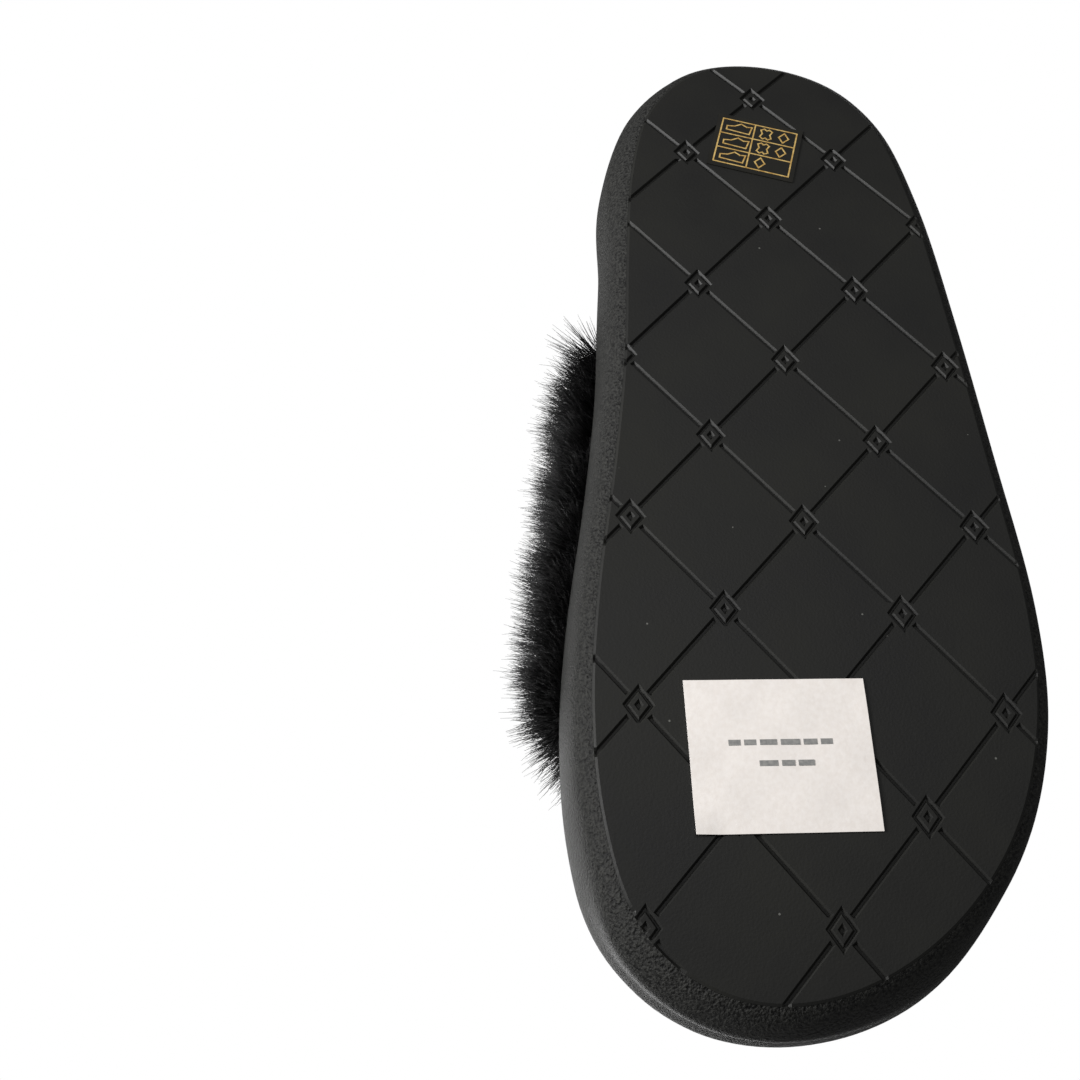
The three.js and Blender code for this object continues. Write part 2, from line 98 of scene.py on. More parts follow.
LABEL_AT, LABEL_WIDE, LABEL_TALL, LABEL_TURN = (8.0, -81.8), 40.6, 34.4, -3.4
LABEL_THICK, LABEL_LIFT, LABEL_INK_LIFT = 0.12, 0.22, 0.37
STICKER_AT, STICKER_WIDE, STICKER_TALL, STICKER_TURN = (2.8, 98.6), 24.0, 21.5, 13.0
FILM_THICK, FILM_LIFT, GOLD_LIFT = 0.1, 0.15, 0.26
FRAME_WIDE, FRAME_TALL, FRAME_CUT = 21.0, 18.0, 1.3
PRINT_THICK, DASH_WIDE, GOLD_WIDE, STROKE_STEP = 0.02, 1.3, 0.4, 1.5

FLOOR_HALF, FLOOR_DROP = 9000.0, 0.4
EYE = (82.82, -207.86, -296.1)
EYE_RIGHT, EYE_DOWN = (-0.9968, 0.0119, -0.0796), (-0.0507, -0.8605, 0.507)

label_low, label_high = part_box("paper_label")
SHIFT = (np.array(label_low) + np.array(label_high))[:2] / 2 / MM - np.array(LABEL_AT)


# ------------------------------------------------------------------ settings

class TreadSettings(bpy.types.PropertyGroup):
    groove_width: FloatProperty(
        name="Groove width", description="Width of a tread groove at its mouth",
        default=1.5 * MM, unit="LENGTH")
    groove_depth: FloatProperty(
        name="Groove depth", description="Depth of the tread grooves",
        default=0.7 * MM, unit="LENGTH")


class FurSettings(bpy.types.PropertyGroup):
    strands: IntProperty(
        name="Strands", description="Tufts of fibre in each of the band's sectors",
        default=9300, min=100)
    length: FloatProperty(
        name="Pile length", description="Length of one tuft",
        default=19.0 * MM, unit="LENGTH")
    width: FloatProperty(
        name="Tuft radius", description="Radius of one tuft at its root",
        default=0.2 * MM, unit="LENGTH")
    clump: FloatProperty(
        name="Clump size", description="Distance between the places that tufts lean to",
        default=7.0 * MM, unit="LENGTH")
    seed: IntProperty(name="Seed", description="Changes where the tufts grow", default=7)


class StageSettings(bpy.types.PropertyGroup):
    floor: FloatVectorProperty(
        name="Floor", description="Colour of the pale floor",
        default=(0.78, 0.78, 0.77), subtype="COLOR", min=0, max=1)
    key_power: FloatProperty(
        name="Key light", description="Power of the soft light beside the sole",
        default=19.0, min=0, unit="POWER")


# ------------------------------------------------------------------ curves and heights

def blend(value, low, high):
    """0 below low, 1 above high, and a smooth ease between them."""
    t = np.clip((value - low) / (high - low), 0, 1)
    return t * t * (3 - 2 * t)


def rocker(y):
    """How far the sole curves up at a place along it."""
    toe = np.clip(TOE_START - y, 0, None) / (HALF_LENGTH + TOE_START)
    heel = np.clip(y - HEEL_START, 0, None) / (HALF_LENGTH - HEEL_START)
    return TOE_RISE * toe ** 2 + HEEL_RISE * heel ** 2


def smooth_loop(points, count):
    """Even points on a closed centripetal Catmull-Rom curve."""
    pts = np.array(points, float)
    total = len(pts)
    share = np.linspace(0, 1, 40, endpoint=False)[:, None]
    spans = []
    for i in range(total):
        p0, p1, p2, p3 = (pts[(i + k) % total] for k in (-1, 0, 1, 2))
        d0, d1, d2 = (np.hypot(*(b - a)) ** 0.5 for a, b in ((p0, p1), (p1, p2), (p2, p3)))
        t1 = ((p1 - p0) / d0 - (p2 - p0) / (d0 + d1) + (p2 - p1) / d1) * d1
        t2 = ((p2 - p1) / d1 - (p3 - p1) / (d1 + d2) + (p3 - p2) / d2) * d1
        spans.append(p1 + share * t1 + share ** 2 * (-3 * p1 + 3 * p2 - 2 * t1 - t2)
                     + share ** 3 * (2 * p1 - 2 * p2 + t1 + t2))
    dense = np.concatenate(spans)
    closed = np.vstack([dense, dense[:1]])
    run = np.concatenate([[0], np.cumsum(np.hypot(*np.diff(closed, axis=0).T))])
    even = np.linspace(0, run[-1], count, endpoint=False)
    loop = np.stack([np.interp(even, run, closed[:, k]) for k in (0, 1)], 1)
    for _ in range(6):
        loop = loop * 0.5 + (np.roll(loop, 1, 0) + np.roll(loop, -1, 0)) * 0.25
    return loop


EDGE = smooth_loop(TREAD_EDGE, EDGE_COUNT)
_along = np.roll(EDGE, -1, 0) - np.roll(EDGE, 1, 0)
_along /= np.linalg.norm(_along, axis=1)[:, None]
EDGE_OUT = np.stack([_along[:, 1], -_along[:, 0]], 1)
_toe, _heel = int(EDGE[:, 1].argmin()), int(EDGE[:, 1].argmax())
_order = np.roll(np.arange(EDGE_COUNT), -_toe)
_split = int((_heel - _toe) % EDGE_COUNT)
MEDIAL = EDGE[_order[:_split + 1]]
LATERAL = EDGE[_order[_split:]][::-1]


def ring(out=0.0, up=0.0, shrink=1.0):
    """A ring parallel to the tread's edge, or drawn in to the sole's middle line."""
    offset = out(EDGE[:, 1]) if callable(out) else out
    place = EDGE + EDGE_OUT * np.reshape(offset, (-1, 1))
    middle = np.stack([np.full(EDGE_COUNT, MIDDLE_X),
                       np.clip(EDGE[:, 1], MIDDLE_TOE, MIDDLE_HEEL)], 1)
    spot = middle + (place - middle) * shrink
    height = up(spot[:, 0], spot[:, 1]) if callable(up) else up
    return np.column_stack([spot, rocker(spot[:, 1]) + height])


def band_zone(y):
    """1 beside the band's legs, 0 at the toe and the heel."""
    return blend(y, -76, -68) * (1 - blend(y, 66, 74))


def bed_offset(y):
    """How far outside the tread's edge the footbed's side stands."""
    return 0.2 - 4.8 * band_zone(y)


def bed_height(x, y):
    """Top of the footbed's foam: heel cup, arch support, ball hollow and toe ridge."""
    heel_cup = -3.2 * np.exp(-((x / 24) ** 2) - ((y - 92) / 34) ** 2)
    arch_support = 2.6 * np.exp(-(((x - 30) / 14) ** 2) - ((y - 12) / 28) ** 2)
    ball = -1.6 * np.exp(-((x / 30) ** 2) - ((y + 55) / 20) ** 2)
    toe_ridge = 1.0 * np.exp(-(((y + 84) / 9) ** 2) - (x / 30) ** 2)
    return 28.0 + heel_cup + arch_support + ball + toe_ridge


def arch_face(fraction, y):
    """The band's inner face: a point and its outward direction."""
    medial = np.interp(y, MEDIAL[:, 1], MEDIAL[:, 0])
    lateral = np.interp(y, LATERAL[:, 1], LATERAL[:, 0])
    reach = (medial - lateral) / 2 - LEG_INSET
    rise = ARCH_HEIGHT + ARCH_RISE * y
    cos = np.cos(np.pi * fraction)
    sin = np.clip(np.sin(np.pi * fraction), 0, None)
    side = np.sign(cos)
    power = 2 / ARCH_POWER
    x = (medial + lateral) / 2 + reach * side * np.abs(cos) ** power
    z = LEG_BOTTOM + rocker(y) + rise * sin ** power
    normal = np.stack([side * np.abs(cos) ** (2 - power) / reach,
                       np.zeros_like(x), sin ** (2 - power) / rise], -1)
    normal /= np.linalg.norm(normal, axis=-1, keepdims=True)
    return np.stack([x, y + 0 * x, z], -1), normal


def web_back(z):
    """Depth of the backing cloth's outer face, thinner down in the legs."""
    return 1.3 + 4.6 * blend(z, 27.5, 36) + 0.8


def cloth_back(z):
    """Depth of the cloth that the pile grows from."""
    return web_back(z) + 1.0


def layer(fraction, y, depth):
    """Points at a depth outside the band's inner face; depth may depend on height."""
    point, normal = arch_face(fraction, y)
    amount = depth(point[..., 2] - rocker(y)) if callable(depth) else depth
    return point + normal * np.asarray(amount)[..., None]


def band_edge(edge, fraction):
    """Where an edge of the band runs, from its inner side over the crown."""
    medial, crown, lateral = edge
    straight = medial + (lateral - medial) * fraction
    return straight + (crown - (medial + lateral) / 2) * np.sin(np.pi * fraction)


# ------------------------------------------------------------------ meshes

def link(name, mesh):
    obj = bpy.data.objects.new(name, mesh)
    bpy.context.scene.collection.objects.link(obj)
    return obj


def make_object(name, points, faces, sharp=35.0):
    """A smooth-shaded object from points in millimetres, moved into the frame."""
    points = np.array(points, float)
    points[:, :2] += SHIFT
    mesh = bpy.data.meshes.new(name)
    mesh.from_pydata((points * MM).tolist(), [], [tuple(f) for f in faces])
    mesh.validate()
    mesh.polygons.foreach_set("use_smooth", [True] * len(mesh.polygons))
    mesh.set_sharp_from_angle(angle=math.radians(sharp))
    return link(name, mesh)


def enclosed(points, faces):
    """Volume inside closed faces, above zero when they look outward."""
    corners = [(f[0], f[k], f[k + 1]) for f in faces for k in range(1, len(f) - 1)]
    a, b, c = points[np.array(corners)].transpose(1, 0, 2)
    return (a * np.cross(b, c)).sum() / 6


def loft(rings):
    """A closed solid through rings that each have the same number of points."""
    count = len(rings[0])
    index = np.arange(count)
    after = np.roll(index, -1)
    faces = []
    for k in range(len(rings) - 1):
        low, high = k * count, (k + 1) * count
        faces += np.column_stack([low + index, low + after, high + after,
                                  high + index]).tolist()
    start = len(rings) * count
    last = start - count
    faces += [(b, a, start) for a, b in zip(index, after)]
    faces += [(last + a, last + b, start + 1) for a, b in zip(index, after)]
    points = np.vstack([*rings, rings[0].mean(0), rings[-1].mean(0)])
    if enclosed(points, faces) < 0:
        faces = [face[::-1] for face in faces]
    return points, faces


def finish(obj, material, slot, *nodes):
    """Gives a piece its material and its body, and hides the nodes that it stands for; slot is not
    used.
    """
    obj.data.materials.clear()
    obj.data.materials.append(material)
    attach(obj, "root")
    if nodes:
        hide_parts(*nodes)


def spline(values, count):
    """Even points on a smooth open curve through the given ones."""
    pts = np.array(values, float)
    ends = np.vstack([2 * pts[0] - pts[1], pts, 2 * pts[-1] - pts[-2]])
    dense = []
    share = np.linspace(0, 1, 16, endpoint=False)[:, None]
    for i in range(1, len(ends) - 2):
        p0, p1, p2, p3 = ends[i - 1:i + 3]
        dense.append(0.5 * (2 * p1 + (p2 - p0) * share
                            + (2 * p0 - 5 * p1 + 4 * p2 - p3) * share ** 2
                            + (3 * p1 - p0 - 3 * p2 + p3) * share ** 3))
    dense = np.vstack(dense + [pts[-1:]])
    run = np.concatenate([[0], np.cumsum(np.linalg.norm(np.diff(dense, axis=0), axis=1))])
    even = np.linspace(0, run[-1], count)
    return np.stack([np.interp(even, run, dense[:, k]) for k in range(dense.shape[1])], 1)


# ------------------------------------------------------------------ materials

def linear(hex_colour):
    """sRGB hex to linear RGBA."""
    parts = [int(hex_colour[i:i + 2], 16) / 255 for i in (1, 3, 5)]
    return tuple(p / 12.92 if p <= 0.04045 else ((p + 0.055) / 1.055) ** 2.4
                 for p in parts) + (1.0,)


def add(tree, kind, links=None, **settings):
    """Adds a node; links gives an input a value or another node's output."""
    made = tree.nodes.new(kind)
    for key, value in settings.items():
        setattr(made, key, value)
    for key, value in (links or {}).items():
        if isinstance(value, bpy.types.NodeSocket):
            tree.links.new(value, made.inputs[key])
        else:
            made.inputs[key].default_value = value
    return made


def per_metre(size_mm):
    """Texture scale for a pattern that repeats about every size_mm."""
    return 1000.0 / size_mm


def surface(name, dark, light, mottle=20.0, roughness=(0.5, 0.7), grains=(), **sockets):
    """A two-tone material with uneven gloss and a chain of fine relief.
    grains lists (texture, size in mm, height in mm, share of the relief)."""
    material = bpy.data.materials.new(name)
    material.use_nodes = True
    tree = material.node_tree
    tree.nodes.clear()
    coords = add(tree, "ShaderNodeTexCoord").outputs["Object"]
    clouds = add(tree, "ShaderNodeTexNoise", {
        "Vector": coords, "Scale": per_metre(mottle), "Detail": 4.0}).outputs["Fac"]
    colour = add(tree, "ShaderNodeMix", {
        0: add(tree, "ShaderNodeMapRange", {
            "Value": clouds, "From Min": 0.35, "From Max": 0.65}).outputs[0],
        6: dark, 7: light}, data_type="RGBA").outputs[2]
    gloss = add(tree, "ShaderNodeMapRange", {
        "Value": clouds, "From Min": 0.3, "From Max": 0.7,
        "To Min": roughness[0], "To Max": roughness[1]}).outputs[0]
    normal = None
    for texture, size, height, strength in grains:
        source = grain(tree, coords, texture, size)
        links = {"Height": source, "Distance": height * MM, "Strength": strength}
        if normal is not None:
            links["Normal"] = normal
        normal = add(tree, "ShaderNodeBump", links).outputs["Normal"]
    shader = add(tree, "ShaderNodeBsdfPrincipled", {
        "Base Color": colour, "Roughness": gloss, **sockets})
    if normal is not None:
        tree.links.new(normal, shader.inputs["Normal"])
    output = add(tree, "ShaderNodeOutputMaterial")
    tree.links.new(shader.outputs[0], output.inputs["Surface"])
    return material


def grain(tree, coords, texture, size):
    """Height of one fine pattern."""
    if texture == "pebble":
        return add(tree, "ShaderNodeTexVoronoi", {
            "Vector": coords, "Scale": per_metre(size), "Smoothness": 0.6},
            feature="SMOOTH_F1").outputs["Distance"]
    if texture == "rib":
        return add(tree, "ShaderNodeTexWave", {
            "Vector": coords, "Scale": per_metre(size) / 20 * math.pi,
            "Distortion": 0.6, "Detail": 1.0}, bands_direction="Y").outputs["Fac"]
    if texture == "knit":
        across = add(tree, "ShaderNodeTexWave", {
            "Vector": coords, "Scale": per_metre(size) / 20 * math.pi,
            "Distortion": 0.4}, bands_direction="Y").outputs["Fac"]
        upward = add(tree, "ShaderNodeTexWave", {
            "Vector": coords, "Scale": per_metre(size) / 20 * math.pi,
            "Distortion": 0.4}, bands_direction="Z").outputs["Fac"]
        return add(tree, "ShaderNodeMath", {0: across, 1: upward},
                   operation="MULTIPLY").outputs[0]
    return add(tree, "ShaderNodeTexNoise", {
        "Vector": coords, "Scale": per_metre(size), "Detail": 3.0}).outputs["Fac"]


def tread_rubber():
    # Moulded rubber from a lightly etched steel mould: dark, even and dull, with a
    # soft wide highlight and a few pale specks of dust.
    material = surface(
        "moulded_tread_rubber", linear("#151514"), linear("#1a1a17"), mottle=28,
        roughness=(0.52, 0.62), grains=[("noise", 0.6, 0.08, 0.6), ("noise", 4, 0.1, 0.25)],
        **{"IOR": 1.5, "Specular IOR Level": 0.3})
    tree = material.node_tree
    shader = next(n for n in tree.nodes if n.type == "BSDF_PRINCIPLED")
    coords = next(n for n in tree.nodes if n.type == "TEX_COORD").outputs["Object"]
    dots = add(tree, "ShaderNodeTexVoronoi", {
        "Vector": coords, "Scale": per_metre(5.5), "Randomness": 1.0})
    chosen = add(tree, "ShaderNodeMath", {0: dots.outputs["Distance"], 1: 0.045},
                 operation="LESS_THAN").outputs[0]
    rare = add(tree, "ShaderNodeSeparateColor", {"Color": dots.outputs["Color"]}).outputs[0]
    few = add(tree, "ShaderNodeMath", {0: rare, 1: 0.3}, operation="LESS_THAN").outputs[0]
    dust = add(tree, "ShaderNodeMath", {0: chosen, 1: few}, operation="MULTIPLY").outputs[0]
    faint = add(tree, "ShaderNodeMath", {0: dust, 1: 0.35}, operation="MULTIPLY").outputs[0]
    under = shader.inputs["Base Color"].links[0].from_socket
    dusty = add(tree, "ShaderNodeMix", {0: faint, 6: under, 7: linear("#9a9a94")},
                data_type="RGBA").outputs[2]
    tree.links.new(dusty, shader.inputs["Base Color"])
    return material


def cup_rubber():
    # Foamed rubber moulded against a spark-eroded wall: a matt, even grey-black with a
    # fine grain of painted glints and painted shade (light and dark points in its colour) over its
    # bumped relief, and no clear highlight.
    return surface(
        "spark_grained_rubber", linear("#070707"), linear("#2d2d2b"), mottle=0.7,
        roughness=(0.62, 0.8),
        grains=[("noise", 0.7, 0.5, 1.0), ("pebble", 0.6, 0.25, 0.8)],
        **{"IOR": 1.5, "Specular IOR Level": 0.22})


def bed_microfibre():
    # Brushed microfibre laminated on foam: black with a short nap that lies in patches.
    return surface(
        "brushed_microfibre", linear("#161617"), linear("#1f1f21"), mottle=9,
        roughness=(0.82, 0.95),
        grains=[("noise", 0.5, 0.12, 0.6), ("noise", 3.5, 0.25, 0.35)],
        **{"Specular IOR Level": 0.25, "Sheen Weight": 0.35, "Sheen Roughness": 0.5,
           "Sheen Tint": linear("#6d6d70")})


def lining_knit():
    # Brushed warp knit on foam: soft, fine ribs drawn coarse enough to show.
    return surface(
        "brushed_knit_lining", linear("#18181a"), linear("#202023"), mottle=11,
        roughness=(0.85, 0.95), grains=[("knit", 1.1, 0.12, 0.6), ("noise", 0.5, 0.06, 0.5)],
        **{"Specular IOR Level": 0.2, "Sheen Weight": 0.3, "Sheen Roughness": 0.5,
           "Sheen Tint": linear("#6a6a6e")})


def binding_tape():
    # Woven grosgrain polyester: cross ribs with a slight silky sheen.
    return surface(
        "grosgrain_tape", linear("#141415"), linear("#1c1c1e"), mottle=8,
        roughness=(0.5, 0.66), grains=[("rib", 0.9, 0.14, 0.8), ("noise", 0.3, 0.03, 0.4)],
        **{"Specular IOR Level": 0.4, "Sheen Weight": 0.15})


def sewing_thread():
    # Bonded polyester thread: glossy on its crests, twisted.
    return surface(
        "bonded_polyester_thread", linear("#19191a"), linear("#26262a"), mottle=2,
        roughness=(0.35, 0.5), grains=[("rib", 0.35, 0.06, 0.7)],
        **{"Specular IOR Level": 0.5})


def pile_material():
    # Modacrylic pile fibre: near black at the root, warmer and lighter towards the tip
    # (the tip's own warmer tone, with painted sheen in its lightening), with some tufts duller than
    # others.
    material = bpy.data.materials.new("modacrylic_pile")
    material.use_nodes = True
    tree = material.node_tree
    tree.nodes.clear()
    along = add(tree, "ShaderNodeAttribute", attribute_name="along").outputs["Fac"]
    lot = add(tree, "ShaderNodeAttribute", attribute_name="lot").outputs["Fac"]
    # Root to tip: a warmer tip tone, its lightening partly painted sheen, as gloss stays even along
    # the tuft.
    body = add(tree, "ShaderNodeMix", {
        0: along, 6: linear("#030303"), 7: linear("#0f0e0e")},
        data_type="RGBA").outputs[2]
    colour = add(tree, "ShaderNodeMix", {
        0: lot, 6: body, 7: linear("#070708")}, data_type="RGBA").outputs[2]
    shader = add(tree, "ShaderNodeBsdfPrincipled", {
        "Base Color": colour, "Roughness": 0.5, "Specular IOR Level": 0.3, "IOR": 1.53})
    output = add(tree, "ShaderNodeOutputMaterial")
    tree.links.new(shader.outputs[0], output.inputs["Surface"])
    return material


def pile_bed():
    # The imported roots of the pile: dark, dull and streaky.
    return surface(
        "packed_pile_roots", linear("#050505"), linear("#0c0c0c"), mottle=5,
        roughness=(0.8, 0.95), grains=[("noise", 0.8, 0.8, 0.9), ("noise", 3, 1.2, 0.7)],
        **{"Specular IOR Level": 0.15})


def label_paper():
    # Matt coated label stock: off-white with faint fibre mottling.
    return surface(
        "label_paper", linear("#ebe4de"), linear("#f0eae5"), mottle=1.2,
        roughness=(0.6, 0.75), grains=[("noise", 0.6, 0.03, 0.4), ("noise", 6, 0.25, 0.35)],
        **{"Specular IOR Level": 0.3})


def grey_ink():
    # Thermal print: soft mid grey that the paper's grain breaks up.
    return surface("thermal_print_ink", linear("#7b7b7a"), linear("#93928f"), mottle=0.8,
                   roughness=(0.6, 0.7))


def sticker_film():
    # Clear glossy film over dark rubber: smooth, with a sharp highlight.
    return surface(
        "glossy_label_film", linear("#161511"), linear("#1c1b16"), mottle=7,
        roughness=(0.12, 0.22), grains=[("noise", 5, 0.05, 0.3)],
        **{"Coat Weight": 0.5, "Coat Roughness": 0.08})


def gold_ink():
    # Bronze-powder gold ink: warm, part mirror and part matt, slightly broken.
    return surface(
        "gold_print_ink", linear("#c39a52"), linear("#e6c67c"), mottle=1.2,
        roughness=(0.3, 0.45), grains=[("noise", 0.3, 0.02, 0.4)], Metallic=0.3)


# ------------------------------------------------------------------ operators: sole

def crossing(i, j):
    """Place of one crossing of the tread's lattice."""
    across, along = (j - i) / 2 * LATTICE_WIDE, -(i + j) / 2 * LATTICE_TALL
    cos, sin = math.cos(LATTICE_TURN), math.sin(LATTICE_TURN)
    return np.array([LATTICE_START[0] + cos * across - sin * along,
                     LATTICE_START[1] + sin * across + cos * along])


def tread_marks():
    """Bars (middle, direction, half length) and the lozenges' centres."""
    bars, centres = [], []
    for i in LATTICE_CELLS:
        for j in LATTICE_CELLS:
            here = crossing(i, j)
            if abs(here[0]) > LATTICE_REACH[0] or abs(here[1]) > LATTICE_REACH[1]:
                continue
            centres.append(here)
            for there in (crossing(i + 1, j), crossing(i, j + 1)):
                run = there - here
                length = np.hypot(*run)
                bars.append(((here + there) / 2, run / length, length / 2 - GROOVE_STOP))
    return bars, centres


def rhombus(centre, scale, grow):
    """Corners of a lozenge whose sides stand a distance outside the scaled one."""
    slope = math.hypot(LOZENGE_WIDE, LOZENGE_TALL)
    wide = LOZENGE_WIDE * scale + grow * slope / LOZENGE_TALL
    tall = LOZENGE_TALL * scale + grow * slope / LOZENGE_WIDE
    return centre + np.array([(wide, 0), (0, tall), (-wide, 0), (0, -tall)])


def groove_depth(points, marks, width, deep):
    """Relief of the tread under each point: 0 on the face, deep on a groove's floor."""
    bars, centres = marks
    nearest = np.full(len(points), 9.0)
    for middle, run, half in bars:
        offset = points - middle
        along = np.abs(offset @ run) - half
        side = np.abs(offset @ np.array([-run[1], run[0]])) - width / 2
        nearest = np.minimum(nearest, np.maximum(along, side))
    slant = LOZENGE_WIDE * LOZENGE_TALL / math.hypot(LOZENGE_WIDE, LOZENGE_TALL)
    for centre in centres:
        offset = np.abs(points - centre)
        reach = (offset[:, 0] / LOZENGE_WIDE + offset[:, 1] / LOZENGE_TALL) * slant
        outline = np.maximum(reach - slant, slant - LOZENGE_STROKE - reach)
        core = reach - slant * CORE_SCALE
        nearest = np.minimum(nearest, np.minimum(outline, core))
    return deep * np.clip(-nearest / DRAFT, 0, 1)


def inside_loop(points, loop):
    """Which points lie inside a closed outline."""
    inside = np.zeros(len(points), bool)
    for a, b in zip(loop, np.roll(loop, -1, 0)):
        cuts = (a[1] > points[:, 1]) != (b[1] > points[:, 1])
        span = b[1] - a[1] if b[1] != a[1] else 1e-9
        inside ^= cuts & (points[:, 0] < (b[0] - a[0]) * (points[:, 1] - a[1]) / span + a[0])
    return inside


class SLIDE_OT_tread(bpy.types.Operator):
    """Makes the tread plate, with its grooves and lozenges as real relief"""
    bl_idname = "slide.tread"
    bl_label = "Build tread"

    def execute(self, context):
        settings = context.scene.slide_tread
        width, deep = settings.groove_width / MM, settings.groove_depth / MM
        marks = tread_marks()
        rim = ring(out=-PLATE_INSET)[:, :2]
        points, lines = [], []

        def outline(corners, closed=True):
            start = len(points)
            points.extend(Vector(c) for c in np.asarray(corners, float))
            last = len(corners) if closed else len(corners) - 1
            lines.extend((start + k, start + (k + 1) % len(corners)) for k in range(last))

        outline(rim)
        for middle, run, half in marks[0]:
            side = np.array([-run[1], run[0]])
            for inset in (0.0, DRAFT):
                a, b = run * (half - inset), side * (width / 2 - inset)
                outline([middle - a - b, middle + a - b, middle + a + b, middle - a + b])
        for centre in marks[1]:
            for scale, grow in ((1, 0), (1, -DRAFT), (1, DRAFT - LOZENGE_STROKE),
                                (1, -LOZENGE_STROKE), (CORE_SCALE, 0), (CORE_SCALE, -DRAFT)):
                outline(rhombus(centre, scale, grow))
        # Cuts across the curved ends, so the triangles there follow the curve.
        for y in np.arange(2 - HALF_LENGTH, HALF_LENGTH, FLAT_STEP):
            if y < TOE_START + FLAT_STEP or y > HEEL_START - FLAT_STEP:
                outline([(-60, y), (60, y)], closed=False)
        found = delaunay_2d_cdt(points, lines, [], 0, 1e-5)
        flat = np.array([tuple(v) for v in found[0]])
        triangles = np.array([tuple(f) for f in found[2]])
        middles = flat[triangles].mean(1)
        triangles = triangles[inside_loop(middles, rim)]
        used, triangles = np.unique(triangles, return_inverse=True)
        flat, triangles = flat[used], triangles.reshape(-1, 3)
        a, b, c = (flat[triangles[:, k]] for k in range(3))
        area = (b[:, 0] - a[:, 0]) * (c[:, 1] - a[:, 1]) - (b[:, 1] - a[:, 1]) * (c[:, 0] - a[:, 0])
        triangles[area > 0] = triangles[area > 0][:, ::-1]
        count = len(flat)
        base = rocker(flat[:, 1])
        under = np.column_stack([flat, base + groove_depth(flat, marks, width, deep)])
        above = np.column_stack([flat, base + PLATE_TOP])
        directed = {(u, v) for t in triangles for u, v in ((t[0], t[1]), (t[1], t[2]), (t[2], t[0]))}
        border = [(u, v) for u, v in directed if (v, u) not in directed]
        onward = dict(border)
        loop = [border[0][0]]
        while onward[loop[-1]] != loop[0]:
            loop.append(onward[loop[-1]])
        edge = flat[loop]
        near = np.array([np.argmin(np.hypot(*(rim - p).T)) for p in edge])
        wide = edge + EDGE_OUT[near] * PLATE_SIDE
        side_low = np.column_stack([wide, rocker(wide[:, 1]) + PLATE_BEVEL])
        side_high = np.column_stack([wide, rocker(wide[:, 1]) + PLATE_TOP])
        verts = np.vstack([under, above, side_low, side_high])
        faces = triangles.tolist() + (triangles[:, ::-1] + count).tolist()
        low, high, total = 2 * count, 2 * count + len(loop), len(loop)
        for k in range(total):
            n = (k + 1) % total
            faces.append((loop[n], loop[k], low + k, low + n))
            faces.append((low + n, low + k, high + k, high + n))
            faces.append((high + n, high + k, loop[k] + count, loop[n] + count))
        plate = make_object("tread_plate", verts, faces, sharp=20)
        finish(plate, tread_rubber(), "tread_rubber", "tread_outsole")
        return {"FINISHED"}


def wall_lean(up):
    """How far the wall leans in at a height: in at the toe's inner side, out at its outer
    side and at the heel's inner side."""
    x, y = EDGE[:, 0], EDGE[:, 1]
    toe = (4.4 * blend(x, -32, 18) * blend(up, 4, 20) - 1.5 * blend(up, 1, 8)
           - 1.5 * blend(x, 24, 46) * blend(up, 4, 20))
    heel = -2.2 * blend(x, 2, 20) * blend(y, 64, 92) * blend(up, 1, 8)
    return toe * blend(-y, 104, 124) + heel


def wall_ring(out, up):
    """One ring of the wall; the lean keeps the lip's shape."""
    flare = (out - WALL_INSIDE) / (WALL_FULL - WALL_INSIDE)
    return ring(out=lambda y: out - flare * wall_lean(up), up=up)


class SLIDE_OT_cup(bpy.types.Operator):
    """Makes the grained cup that holds the tread, the cushioning and the band's legs"""
    bl_idname = "slide.cup"
    bl_label = "Build cup sole"

    def execute(self, context):
        wall = spline([(0.05, 0.3), (1.5, 1.15), (3.0, 2.9), (4.2, 6.8), (4.95, 13.0),
                       (WALL_FULL, 20.0), (5.05, 24.4), (4.2, 26.5), (2.8, 27.2),
                       (1.3, 26.9), (0.65, 25.8)], 34)
        shares = (0.15, 0.5, 0.8)
        rings = [ring(shrink=s, up=RECESS_TOP) for s in shares] + [ring(up=RECESS_TOP)]
        rings += [wall_ring(out, up) for out, up in wall]
        rings += [ring(out=WALL_INSIDE, up=CUP_FLOOR)]
        rings += [ring(shrink=s, up=CUP_FLOOR) for s in shares[::-1]]
        cup = make_object("grained_cup", *loft(rings), sharp=40)
        finish(cup, cup_rubber(), "grained_rubber", "cup_sole")
        return {"FINISHED"}


def cover_rings():
    """Rings from under the cover's middle, down and up its side, to its top's middle."""
    under = [ring(bed_offset, lambda x, y: bed_height(x, y) + COVER_GAP, s)
             for s in (0.08, 0.3, 0.55, 0.8)]
    inner = [(-2.4, 28.1), (-1, 26.7), (-1, BED_BOTTOM)]
    lip = spline([(0.0, BED_BOTTOM), (0.0, 24), (-0.05, 26.6), (-0.7, 28.3), (-2.2, 29.35)], 12)
    sides = [ring(lambda y, o=o: bed_offset(y) + o, u) for o, u in (*inner, *lip)]
    top = [ring(bed_offset, lambda x, y: bed_height(x, y) + COVER_TOP, s)
           for s in (0.9, 0.86, 0.82, 0.76, 0.7, 0.64, 0.58, 0.52, 0.46, 0.4, 0.34, 0.28,
                     0.22, 0.15, 0.08)]
    return under + sides + top


class SLIDE_OT_footbed(bpy.types.Operator):
    """Makes the footbed's brushed cover, with its heel cup and arch support"""
    bl_idname = "slide.footbed"
    bl_label = "Build footbed"

    def execute(self, context):
        cover = make_object("footbed_top_cloth", *loft(cover_rings()), sharp=60)
        finish(cover, bed_microfibre(), "bed_cloth", "footbed_cover")
        return {"FINISHED"}


